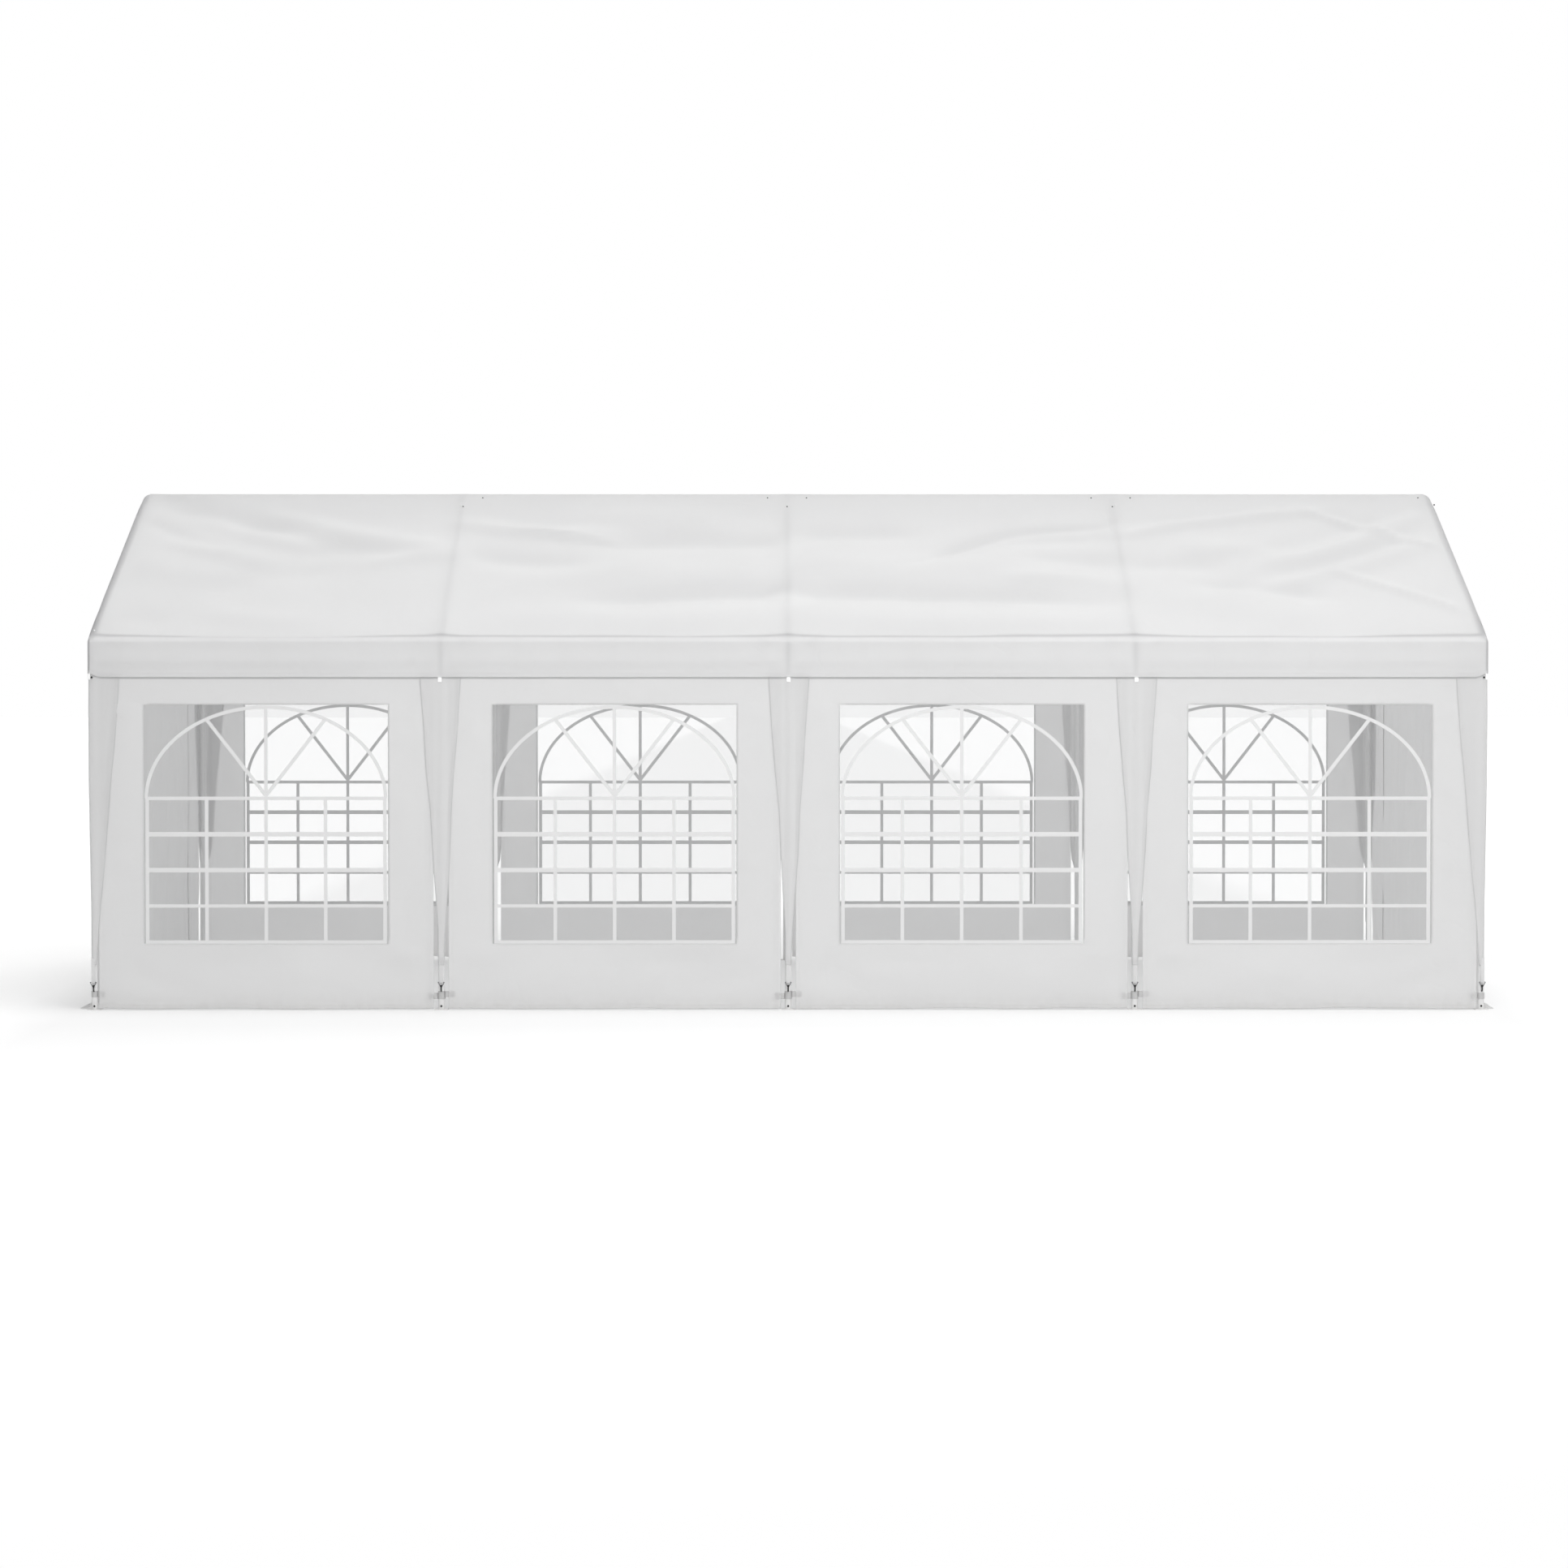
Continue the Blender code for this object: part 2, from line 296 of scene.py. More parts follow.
def add_group(tree, group, value=None):
    """A shader group in a material, with a value of its own."""
    made = tree.nodes.new("ShaderNodeGroup")
    made.node_tree = group
    if value is not None:
        made.inputs[0].default_value = value
    return made.outputs


def new_material(name):
    """An empty material and its tree."""
    material = bpy.data.materials.new(name)
    material.use_nodes = True
    material.node_tree.nodes.clear()
    return material, material.node_tree


def toned(tree, patches, middle, spread, dust_share):
    """Base colour with slight patches of tone, and dust near the ground."""
    colour = mixed_colour(tree, patches, grey(middle - spread), grey(middle + spread))
    mask = add_group(tree, GROUND_DUST)["Mask"]
    return mixed_colour(tree, maths(tree, "MULTIPLY", mask, dust_share), colour, DUST)


def finished(material, colour, roughness, normal, more=None, glow=None, light_through=0.0):
    """Gives a material its shader, and where it has a glow, lets this share of the light through."""
    tree = material.node_tree
    inputs = {"Base Color": colour, "Roughness": roughness, "Normal": normal, **(more or {})}
    shader = add_node(tree, "BsdfPrincipled", inputs)
    if glow:
        through = add_node(tree, "BsdfTranslucent", glow)
        mix = {0: light_through, 1: shader.outputs[0], 2: through.outputs[0]}
        shader = add_node(tree, "MixShader", mix)
    tree.links.new(shader.outputs[0], add_node(tree, "OutputMaterial").inputs["Surface"])
    return material


def fabric_material(name, tone, light_through):
    """Coated white weave that lets part of the light through, with shade painted on its points that darkens
    its colour.
    """
    material, tree = new_material(name)
    creases = add_group(tree, CREASES, 2.2)
    clean = toned(tree, creases["Patches"], tone, 0.012, 0.25)
    # Shade painted on each point of the piece, as a share of the grey
    painted_shade = add_node(tree, "Attribute", attribute_name="painted_shade").outputs["Fac"]
    colour = mixed_colour(tree, painted_shade, clean, SHADE_GREY)
    creased = bumped(tree, creases["Height"], 0.0016)
    normal = bumped(tree, add_group(tree, WEAVE, 0.0025)["Height"], 0.00012, creased)
    roughness = between(tree, creases["Patches"], 0.50, 0.62)
    glow = {"Color": colour, "Normal": normal}
    return finished(material, colour, roughness, normal, {"Specular IOR Level": 0.35}, glow, light_through)


def film_material():
    """Clear soft film: hardly there seen straight on, and milky with a gloss at a slant."""
    material, tree = new_material("clear_film")
    creases = add_group(tree, CREASES, 3.5)
    slant = add_node(tree, "LayerWeight", {"Blend": 0.35}).outputs["Facing"]
    haze = maths(tree, "MULTIPLY", maths(tree, "POWER", slant, 2.5), 0.45)
    alpha = maths(tree, "ADD", haze, between(tree, creases["Patches"], 0.055, 0.075))
    colour = mixed_colour(tree, creases["Patches"], (0.57, 0.58, 0.59, 1), (0.65, 0.66, 0.67, 1))
    normal = bumped(tree, creases["Height"], 0.0005)
    return finished(material, colour, 0.12, normal, {"Specular IOR Level": 0.6, "Alpha": alpha})


def powder_coat_material():
    """White powder coat on steel: fine orange peel, and dust near the ground."""
    material, tree = new_material("white_powder_coat")
    patches = clouds(tree, 6.0, 3.0)
    colour = toned(tree, patches, 0.78, 0.02, 0.5)
    peel = bumped(tree, clouds(tree, 900.0, 2.0), 0.00006)
    return finished(material, colour, between(tree, patches, 0.30, 0.42), peel)


def webbing_material(name, tone, painted_glow=0.0):
    """Woven strap: narrow ribs, matt; a painted glow, as strong as the last argument says, makes one brighter
    than white.
    """
    material, tree = new_material(name)
    ribs = add_group(tree, WEAVE, 0.0016)["Height"]
    colour = toned(tree, add_group(tree, CREASES, 9.0)["Patches"], tone, 0.03, 0.5)
    # Emission on the strap is a painted glow
    more = {"Emission Color": grey(1.0), "Emission Strength": painted_glow}
    return finished(material, colour, between(tree, ribs, 0.85, 0.7), bumped(tree, ribs, 0.0003), more)


def metal_material(name, colour, roughness, metallic):
    """Bare or plated metal with fine drawn grain and duller patches."""
    material, tree = new_material(name)
    grains = clouds(tree, 300.0, 4.0)
    tint = mixed_colour(tree, grains, (*[0.8 * level for level in colour], 1), (*colour, 1))
    rough = between(tree, grains, roughness - 0.08, roughness + 0.1)
    return finished(material, tint, rough, bumped(tree, grains, 0.00005), {"Metallic": metallic})


def print_material():
    """White ink printed on the film, opaque and slightly uneven."""
    material, tree = new_material("white_print")
    screen = clouds(tree, 700.0, 2.0)
    colour = mixed_colour(tree, clouds(tree, 5.0, 2.0), grey(0.85), grey(0.875))
    normal = bumped(tree, screen, 0.00004)
    roughness = between(tree, screen, 0.42, 0.52)
    return finished(material, colour, roughness, normal, glow={"Color": grey(0.9)}, light_through=0.28)


ROOF_FABRIC = fabric_material("roof_fabric", 0.965, 0.60)
WALL_FABRIC = fabric_material("wall_fabric", 0.93, 0.61)
# The tails are the roof's fabric with a darker tone: painted shade
TAIL_FABRIC = fabric_material("tail_fabric", 0.885, 0.50)
CLEAR_FILM = film_material()
WHITE_PRINT = print_material()
POWDER_COAT = powder_coat_material()
WHITE_WEBBING = webbing_material("white_webbing", 0.70)
TIE_WEBBING = webbing_material("tie_webbing", 0.56)
# The tabs have a lighter tone than the other white webbing and a painted glow, to show bright white
TAB_WEBBING = webbing_material("tab_webbing", 0.94, painted_glow=0.22)
ZIP_TEETH = metal_material("zip_teeth", (0.62, 0.62, 0.62), 0.4, 0.0)
WHITE_CAP = metal_material("white_cap", (0.95, 0.95, 0.95), 0.35, 0.0)
ZINC = metal_material("zinc_wire", (0.26, 0.265, 0.27), 0.45, 0.9)
DARK_HOOK = metal_material("dark_hook", (0.015, 0.015, 0.015), 0.45, 0.3)


# Camera, light and floor

LENS = 84.13
CAMERA_PLACE = (-0.08, -23.12, 1.803)
CAMERA_DOWN = 1.358
CAMERA_TURN = -0.152
WORLD_LEVEL = 0.77
WORLD_FLAGS = 0.7
KEY_PLACE = Vector((2.8, -10.0, 7.2))
KEY_TARGET = Vector((1.0, -1.5, 1.9))
FLOOR_HALF = 300
FLOOR_GLOW = 0.18
FLOOR_LIFT = 0.085
# Extra lift beside the ends and further away, so that the floor is darker near the tent: painted shade
SIDE_LIFT = 0.10
FAR_LIFT = 0.115


def add_object(name, data):
    made = bpy.data.objects.new(name, data)
    bpy.context.scene.collection.objects.link(made)
    return made


def add_camera():
    lens = bpy.data.cameras.new("camera")
    lens.sensor_width = 36
    lens.lens = LENS
    lens.clip_end = 500
    camera = add_object("camera", lens)
    camera.location = CAMERA_PLACE
    camera.rotation_euler = (radians(90 - CAMERA_DOWN), 0, radians(CAMERA_TURN))
    bpy.context.scene.camera = camera


def add_lamp(name, kind, strength, aim, place=(0, 0, 0), **settings):
    """A lamp at this place that shines along its aim."""
    light = bpy.data.lights.new(name, kind)
    light.energy = strength
    for key, value in settings.items():
        setattr(light, key, value)
    lamp = add_object(name, light)
    lamp.location = place
    lamp.rotation_euler = Vector(aim).to_track_quat("-Z", "Y").to_euler()


def add_world():
    """White surroundings: pure white behind the tent, softer light on it, and a dark flag at each side."""
    world = bpy.data.worlds.new("white_studio")
    world.use_nodes = True
    tree = world.node_tree
    tree.nodes.clear()
    seen = add_node(tree, "Background", {"Color": grey(1.0), "Strength": 1.0})
    flag = ramp(tree, maths(tree, "ABSOLUTE", split(tree, coordinates(tree, "Generated"))[0]), 0.60, 0.90)
    strength = between(tree, flag, WORLD_LEVEL, WORLD_LEVEL * (1 - WORLD_FLAGS))
    lighting = add_node(tree, "Background", {"Color": grey(1.0), "Strength": strength})
    straight = add_node(tree, "LightPath").outputs["Is Camera Ray"]
    mixed = add_node(tree, "MixShader", {0: straight, 1: lighting.outputs[0], 2: seen.outputs[0]})
    tree.links.new(mixed.outputs[0], add_node(tree, "OutputWorld").inputs["Surface"])
    bpy.context.scene.world = world


def add_floor():
    """Pale floor, lifted towards white for the camera, and lifted less near the tent, which paints a soft
    shade round it.
    """
    material, tree = new_material("pale_floor")
    matt = {"Base Color": grey(0.62), "Roughness": 0.9, "Specular IOR Level": 0.0}
    glow = {"Emission Color": grey(1.0), "Emission Strength": FLOOR_GLOW}
    paper = add_node(tree, "BsdfPrincipled", {**matt, **glow})
    beyond = []
    for place, edge in zip(split(tree, coordinates(tree)), (HALF_LENGTH, HALF_WIDTH)):
        past = maths(tree, "SUBTRACT", maths(tree, "ABSOLUTE", place), edge)
        beyond.append(maths(tree, "MAXIMUM", past, 0.0))
    far = maths(tree, "SQRT", maths(tree, "ADD", *[maths(tree, "POWER", reach, 2.0) for reach in beyond]))
    # Less lift near the tent paints a soft shade round it
    beside = ramp(tree, beyond[0], 0.05, 0.5, SIDE_LIFT)
    away = ramp(tree, far, 1.0, 5.0, FAR_LIFT)
    lift = maths(tree, "ADD", maths(tree, "ADD", beside, away), FLOOR_LIFT)
    shine = add_node(tree, "Emission", {"Color": grey(1.0), "Strength": lift})
    straight = add_node(tree, "LightPath").outputs["Is Camera Ray"]
    seen = add_node(tree, "MixShader", {0: straight, 2: shine.outputs[0]})
    both = add_node(tree, "AddShader", {0: paper.outputs[0], 1: seen.outputs[0]})
    tree.links.new(both.outputs[0], add_node(tree, "OutputMaterial").inputs["Surface"])
    mesh = bpy.data.meshes.new("floor")
    corners = [(FLOOR_HALF * a, FLOOR_HALF * b, 0) for a, b in ((-1, -1), (1, -1), (1, 1), (-1, 1))]
    mesh.from_pydata(corners, [], [(0, 1, 2, 3)])
    mesh.materials.append(material)
    add_object("floor", mesh)


add_camera()
add_world()
add_floor()
add_lamp("overhead", "SUN", 0.84, (-0.25, 0.0, -1.0), angle=radians(30))
add_lamp("front_far", "SUN", 0.30, (-0.20, 1.0, -0.62), angle=radians(25))
add_lamp("front_key", "AREA", 318, KEY_TARGET - KEY_PLACE, KEY_PLACE, shape="SQUARE", size=5)
bpy.context.scene.view_settings.view_transform = "Standard"


# Making pieces


def add_piece(name, bm, material, slot, sharp_above):
    """A piece of the tent from this bmesh, which rides on the tent's one body."""
    mesh = bpy.data.meshes.new(name)
    bm.to_mesh(mesh)
    bm.free()
    mesh.shade_smooth()
    mesh.set_sharp_from_angle(angle=radians(sharp_above))
    mesh.materials.append(material)
    piece = add_object(name, mesh)
    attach(piece, "root")
    return piece


def add_solid(name, bm, material, slot, sharp_above):
    """A piece made of closed forms, with their faces turned outwards."""
    bmesh.ops.recalc_face_normals(bm, faces=bm.faces)
    add_piece(name, bm, material, slot, sharp_above)


def add_sheet(name, bm, outward, material, slot, thickness=CLOTH, node=None, painted_shade=None):
    """A cloth piece: its faces look outward, and its thickness lies behind them.

    Outward is a direction, or a function that gives it for the middle of a face. The piece stands in for a
    node of the CAD, and the last argument gives the share of painted shade on each of its points.
    """
    bmesh.ops.remove_doubles(bm, verts=bm.verts, dist=1e-5)
    bmesh.ops.delete(bm, geom=[vert for vert in bm.verts if not vert.link_faces], context="VERTS")
    bm.normal_update()
    look = outward if callable(outward) else lambda centre: Vector(outward)
    if sum(face.normal.dot(look(face.calc_center_median())) for face in bm.faces) < 0:
        bmesh.ops.reverse_faces(bm, faces=bm.faces)
    piece = add_piece(name, bm, material, slot, 60)
    if painted_shade:
        values = piece.data.attributes.new("painted_shade", "FLOAT", "POINT").data
        for vert, value in zip(piece.data.vertices, values):
            value.value = painted_shade(vert.co)
    solidify = piece.modifiers.new("thickness", "SOLIDIFY")
    solidify.thickness = thickness
    solidify.offset = -1
    if node:
        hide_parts(node)
    return piece


def gridded(*grids, wanted=None):
    """Grids of quads between neighbouring rows of points, where wanted(row, column) allows them."""
    bm = bmesh.new()
    for rows in grids:
        lines = [[bm.verts.new(point) for point in row] for row in rows]
        for i, (near, far) in enumerate(zip(lines, lines[1:])):
            for j in range(len(near) - 1):
                if wanted is None or wanted(i, j):
                    bm.faces.new((near[j], near[j + 1], far[j + 1], far[j]))
    return bm


def close_rings(bm, rings):
    """Faces between neighbouring rings of points, and over both ends."""
    for near, far in zip(rings, rings[1:]):
        for i in range(len(near)):
            bm.faces.new((near[i - 1], near[i], far[i], far[i - 1]))
    bm.faces.new(rings[0])
    bm.faces.new(rings[-1][::-1])


def add_ribbon(bm, path, across, width, thickness):
    """A flat strap along a path of points, centred on it, as wide as given along one direction."""
    points = [Vector(point) for point in path]
    across = Vector(across).normalized()
    rings = []
    for i, point in enumerate(points):
        run = points[min(i + 1, len(points) - 1)] - points[max(i - 1, 0)]
        aside = across * (width / 2)
        out = run.cross(across).normalized() * (thickness / 2)
        corners = ((-1, -1), (1, -1), (1, 1), (-1, 1))
        rings.append([bm.verts.new(point + aside * a + out * b) for a, b in corners])
    close_rings(bm, rings)


def add_wire(bm, path, radius, closed=False):
    """Round wire along a path of points."""
    points = [Vector(point) for point in path]
    if closed:
        points = [*points, points[0]]
    last = len(points) - 1
    rings = []
    side_way = None
    for i, point in enumerate(points):
        ahead = points[1] if closed and i == last else points[min(i + 1, last)]
        behind = points[-2] if closed and i == 0 else points[max(i - 1, 0)]
        run = (ahead - behind).normalized()
        side_way = side_way or run.orthogonal().normalized()
        side_way = (side_way - run * side_way.dot(run)).normalized()
        other = run.cross(side_way)
        turns = [2 * pi * k / WIRE_SIDES for k in range(WIRE_SIDES)]
        rings.append([bm.verts.new(point + (side_way * cos(t) + other * sin(t)) * radius) for t in turns])
    close_rings(bm, rings)


def add_knob(bm, place, radius):
    """A ball."""
    made = bmesh.ops.create_uvsphere(bm, u_segments=14, v_segments=8, radius=radius)
    bmesh.ops.translate(bm, vec=place, verts=made["verts"])


def add_box(bm, centre, size):
    bmesh.ops.create_cube(bm, size=1, matrix=Matrix.Translation(centre) @ Matrix.Diagonal((*size, 1)))


# Roof cover

VALANCE_Z = 1.917
CORNER_ROUND = 0.018
GABLE_ROUND = 0.045
GABLE_STEPS = 20
ROOF_SAG = 0.012
EAVE_SAG = 0.010
FOLD_DEPTH = 4.0
FOLD_SPREAD = 1.7

# Soft folds of the front slope in mm: (x, distance down the slope) of both ends, bow, half width and rise
FRONT_FOLDS = metres(
    (-3970, 60, -3050, 620, -30, 85, -7), (-3620, 360, -2960, 780, -30, 60, 6),
    (-3200, 340, -2050, 900, -40, 70, 6), (-3000, 900, -2350, 860, 30, 90, -5.5),
    (-3970, 420, -3500, 840, -20, 45, -4), (-3700, 740, -3120, 1100, -30, 70, 6),
    (-3380, 1480, -2750, 1140, 50, 100, -6), (-3950, 1050, -3100, 1360, -40, 110, 5),
    (-3400, 1800, -2800, 1900, -30, 70, 3), (-3900, 1900, -3600, 1940, 0, 80, -3),
    (-2550, 1100, -2030, 980, 20, 60, 4), (-1980, 480, -1100, 660, -40, 55, 6),
    (-1600, 600, -1050, 740, -20, 30, 3), (-1900, 960, -1150, 1120, -40, 80, -7),
    (-1300, 400, -400, 460, 30, 120, 6), (-1100, 800, -30, 800, 50, 75, -6),
    (-1400, 1160, -100, 1220, -50, 140, 7), (-1120, 1660, -30, 1560, 40, 75, -8),
    (-1700, 1860, -200, 1860, -30, 110, 5), (40, 680, 750, 620, 30, 75, -6),
    (820, 1060, 1950, 520, 160, 35, -4), (900, 920, 1960, 700, 80, 70, -6),
    (50, 1120, 1500, 1080, -50, 130, 6), (20, 1550, 1800, 1680, 70, 75, -9),
    (100, 1880, 1900, 1920, -20, 110, 6), (1450, 1020, 1980, 1120, 20, 80, -6),
    (1300, 1300, 1980, 1420, 30, 60, 4), (2050, 660, 3250, 260, 30, 45, 5.5),
    (2400, 860, 2950, 920, 30, 80, 5), (3240, 250, 4000, 860, -40, 28, 4),
    (2850, 1120, 3900, 380, -50, 50, 5), (2650, 980, 3600, 440, -30, 60, -3),
    (2700, 1500, 3850, 840, -50, 60, 5), (2900, 1300, 3800, 660, -40, 55, -4),
    (3300, 1260, 3980, 1840, 30, 30, 4), (2050, 1160, 2600, 1120, 20, 70, -5),
    (2500, 1400, 3150, 1580, 30, 60, -6), (2200, 1620, 3100, 1840, 0, 120, 5),
)
BACK_FOLDS = [(-u0, v0, -u1, v1, -bow, width, rise) for u0, v0, u1, v1, bow, width, rise in FRONT_FOLDS]

# Distance down the slope, and how far the cover's edge stands out past the end frame there
GABLE_SWELL = [(0.0, 0.028), (0.4, 0.026), (1.05, 0.022), (1.6, 0.019), (1.9, 0.0135), (SLOPE_LENGTH, 0.0)]

# Extra rows of points, as distances from each rafter, from the rounded gable edges and from the eave
RAFTER_MARKS = (0.0, 0.008, 0.017, 0.026, 0.035, 0.046, 0.057)
EDGE_MARKS = (0.015, 0.03, 0.05)
EAVE_MARKS = (0.11, 0.095, 0.08, 0.066, 0.053, 0.041, 0.03, 0.021, 0.014, 0.007)

# Shares of painted shade: along the left and right sloping edges, above the eave, over the rafters and in the
# folds; and of plain darkening towards the ridge
EDGE_SHADE = {-1: 0.48, 1: 0.37}
EAVE_SHADE = 0.29
RAFTER_SHADE = 0.038
FOLD_SHADE_BASE = 0.055
FOLD_SHADE_GAIN = 0.36
FOLD_SHADE_MOST = 0.15
RIDGE_DARKENING = 0.055
# And plain darkening of the valance all over, painted shade on it at each post, and painted shade round its
# corners
VALANCE_DARKENING = 0.080
VALANCE_POST_SHADE = 0.09
CORNER_SHADE = 0.30


def rafter_x(distance, number):
    """Where a frame's rafter lies along the ridge, this far down the slope."""
    lean = {1: -RIDGE_LEAN, 3: RIDGE_LEAN}.get(number, 0.0)
    return frame_x(number) + lean * (1 - distance / SLOPE_LENGTH)


def on_slope(distance, out):
    """(y, z) of a place this far down a slope, and this far out from the middle of its rafters."""
    return distance * SLOPE_COS + out * SLOPE_SIN, RIDGE_Z - distance * SLOPE_SIN + out * SLOPE_COS


def slope_folds(x, distance, side):
    return FOLD_DEPTH * fold_height(x, distance, FRONT_FOLDS if side < 0 else BACK_FOLDS, FOLD_SPREAD)


def slope_relief(x, distance, side):
    """How far the cover stands out from flat on a slope: it sags between the tubes and has soft folds."""
    bay = clamp(int((x + HALF_LENGTH) // BAY), 0, BAYS - 1)
    left = rafter_x(distance, bay)
    span = rafter_x(distance, bay + 1) - left
    share = clamp((x - left) / span)
    from_rafter = min(share, 1 - share) * span
    above_eave = SLOPE_LENGTH - distance
    hang = ROOF_SAG * sin(pi * share) ** 0.75
    down = smooth(distance / 0.30) * smooth(above_eave / 0.07)
    clear = smooth(from_rafter / 0.16)
    folds = (0.35 + 0.65 * clear) * slope_folds(x, distance, side)
    ripples = 0.011 * waves(x, 1.7 * distance, 0.55, 2 + side) + 0.0016 * waves(x, distance, 0.16, 9 + side)
    eave = smooth((above_eave - 0.010) / 0.085) * smooth((0.55 - above_eave) / 0.45)
    relief = down * (folds - hang + clear * ripples) - (0.6 + 0.4 * clear) * EAVE_SAG * eave
    # Near a rafter the cover can't sink past its tube
    lowest = -0.0035 - 0.22 * max(0.0, from_rafter - 0.021)
    return (relief + lowest + hypot(relief - lowest, 0.006)) / 2


def valance_relief(x, depth):
    """Outward waves of the hanging edge, deeper towards its hem."""
    swing = 0.006 * smooth(depth / 0.2) * (1.0 + waves(x, depth * 0.3, 0.45, 4))
    return swing + 0.001 * waves(x, depth, 0.09, 6)


def gable_relief(y, z):
    """The upright gable bellies out slightly between its tubes."""
    height = max(0.0, RIDGE_Z - abs(y) * tan(SLOPE) - z)
    return smooth(height / 0.2) * smooth((z - EAVE_Z) / 0.25) * (0.006 + 0.012 * waves(y, z, 0.5, 8))


def hem_lift(x, y):
    """The valance's hem is turned up slightly at the corners."""
    return 0.022 * (1 - smooth(hypot(END_FACE - abs(x), SIDE_FACE - abs(y)) / 0.075))


def cover_profile():
    """Half of the cover's section, from the ridge to the hem: (y, z, normal y, normal z, part, distance)."""
    profile = []
    for step in range(ROUND_STEPS):
        turn = SLOPE * step / ROUND_STEPS
        y, z = SLOPE_OUT * sin(turn), RIDGE_Z + SLOPE_OUT * cos(turn)
        profile.append((y, z, sin(turn), cos(turn), "slope", 0.0))
    for distance in stations(0, SLOPE_LENGTH, 0.038, [SLOPE_LENGTH - mark for mark in EAVE_MARKS]):
        profile.append((*on_slope(distance, SLOPE_OUT), SLOPE_SIN, SLOPE_COS, "slope", distance))
    fold_z = EAVE_Z - (COVER_OUT - SLOPE_OUT) / SLOPE_COS
    for turn in quarter_turns(SLOPE)[1:]:
        y, z = HALF_WIDTH + COVER_OUT * sin(turn), fold_z + COVER_OUT * cos(turn)
        profile.append((y, z, sin(turn), cos(turn), "slope", SLOPE_LENGTH))
    depths = stations(0, fold_z - VALANCE_Z, 0.03, hem_stations(fold_z - VALANCE_Z, -1))
    return profile + [(SIDE_FACE, fold_z - depth, 1.0, 0.0, "valance", depth) for depth in depths[1:]]


def cover_stations():
    """Places along the ridge: (side, angle round the gable's edge) or (0, x) between the rounded edges."""
    inner = END_FACE - GABLE_ROUND - 0.006
    marks = []
    for way in (-1, 1):
        marks += [frame_x(number) + way * mark for number in range(1, BAYS) for mark in RAFTER_MARKS]
        marks += [way * (inner - mark) for mark in EDGE_MARKS]
    flat = [(0, x) for x in stations(-inner, inner, 0.044, marks)]
    angles = quarter_turns()
    return [(-1, angle) for angle in angles] + flat + [(1, angle) for angle in reversed(angles)]


def cover_point(station, mark, side):
    """A point of the cover's outer face: one station along the ridge, one mark of the half section."""
    y, z, out_y, out_z, part, distance = mark
    end, value = station
    edge = CORNER_ROUND
    swell = 0.0
    if part == "slope":
        edge += (GABLE_ROUND - CORNER_ROUND) * smooth((SLOPE_LENGTH - distance) / 0.5)
        edge += 0.014 * (1 - smooth(distance / 0.25))
        swell = along(GABLE_SWELL, distance)
    x = value + copysign(swell, value) * smooth((abs(value) - HALF_LENGTH + 0.25) / 0.2)
    inset = 0.0
    if end:
        x = end * (END_FACE + swell - edge * (1 - cos(value)))
        inset = edge * (1 - sin(value))
    if part == "slope":
        relief = slope_relief(x, distance, side) if not end else 0.0
    else:
        hem = along(HEM_SECTION, z - VALANCE_Z)
        relief = hem + valance_relief(x, distance) * smooth((HALF_LENGTH - abs(x)) / 0.25)
        z += hem_lift(x, y - inset) * smooth(distance / 0.2)
    y += out_y * (relief - inset)
    z += out_z * (relief - inset)
    if inset > SLOPE_OUT and y < 0.0002:
        # Set in further than the ridge's own rounding, both slopes meet in one point
        y = 0.0
        z = RIDGE_Z + (SLOPE_OUT - inset) / SLOPE_COS
    return (x, side * y, z)


def gable_rows(end, row, valance):
    """Rows of points down an upright gable and the valance under it, from the cover's row at that end."""
    drop = len(valance)
    top = row[drop:-drop]
    foot_z = top[-1][2]
    rows = []
    for step in range(GABLE_STEPS + 1):
        line = []
        for x, y, z in top:
            height = z + (foot_z - z) * step / GABLE_STEPS
            swell = (abs(x) - END_FACE) * (1 - smooth((z - height) / 0.7))
            line.append((end * (END_FACE + swell + gable_relief(y, height) * smooth(step / 2)), y, height))
        rows.append(line)
    for (corner_x, corner_y, corner_z), (_, z, _, _, _, depth) in zip(row[-drop:], valance):
        line = []
        for _, y, _ in top:
            inward = HALF_WIDTH - abs(y)
            relief = along(HEM_SECTION, z - VALANCE_Z) * smooth(inward / 0.03)
            relief += valance_relief(y, depth) * smooth(inward / 0.25)
            line.append((end * (END_FACE + relief), y, z + hem_lift(END_FACE, y) * smooth(depth / 0.2)))
        line[0] = (corner_x, -corner_y, corner_z)
        line[-1] = (corner_x, corner_y, corner_z)
        rows.append(line)
    return rows


def gable_edge_distance(place):
    """How far a point of the cover is from the sloping edges, along the slope or down the gable."""
    down = min(abs(place.y) / SLOPE_COS, SLOPE_LENGTH)
    inward = END_FACE + along(GABLE_SWELL, down) - abs(place.x)
    below = RIDGE_Z + SLOPE_OUT / SLOPE_COS - abs(place.y) * tan(SLOPE) - place.z
    return max(inward, 0.0) + max(below, 0.0)


def slope_painted_shade(x, distance, side):
    """Painted shade on a slope: more on the lower side of each fold than on the upper side; also darker
    towards the ridge.
    """
    step = 0.015
    fall = (slope_folds(x, distance - step, side) - slope_folds(x, distance + step, side)) / (2 * step)
    share = clamp(FOLD_SHADE_BASE + FOLD_SHADE_GAIN * fall, 0.0, FOLD_SHADE_MOST)
    fade = smooth((SLOPE_LENGTH - distance) / 0.15) * smooth((HALF_LENGTH - abs(x)) / 0.1)
    return FOLD_SHADE_BASE + (share - FOLD_SHADE_BASE) * fade + RIDGE_DARKENING * (1 - smooth(distance / 0.75))


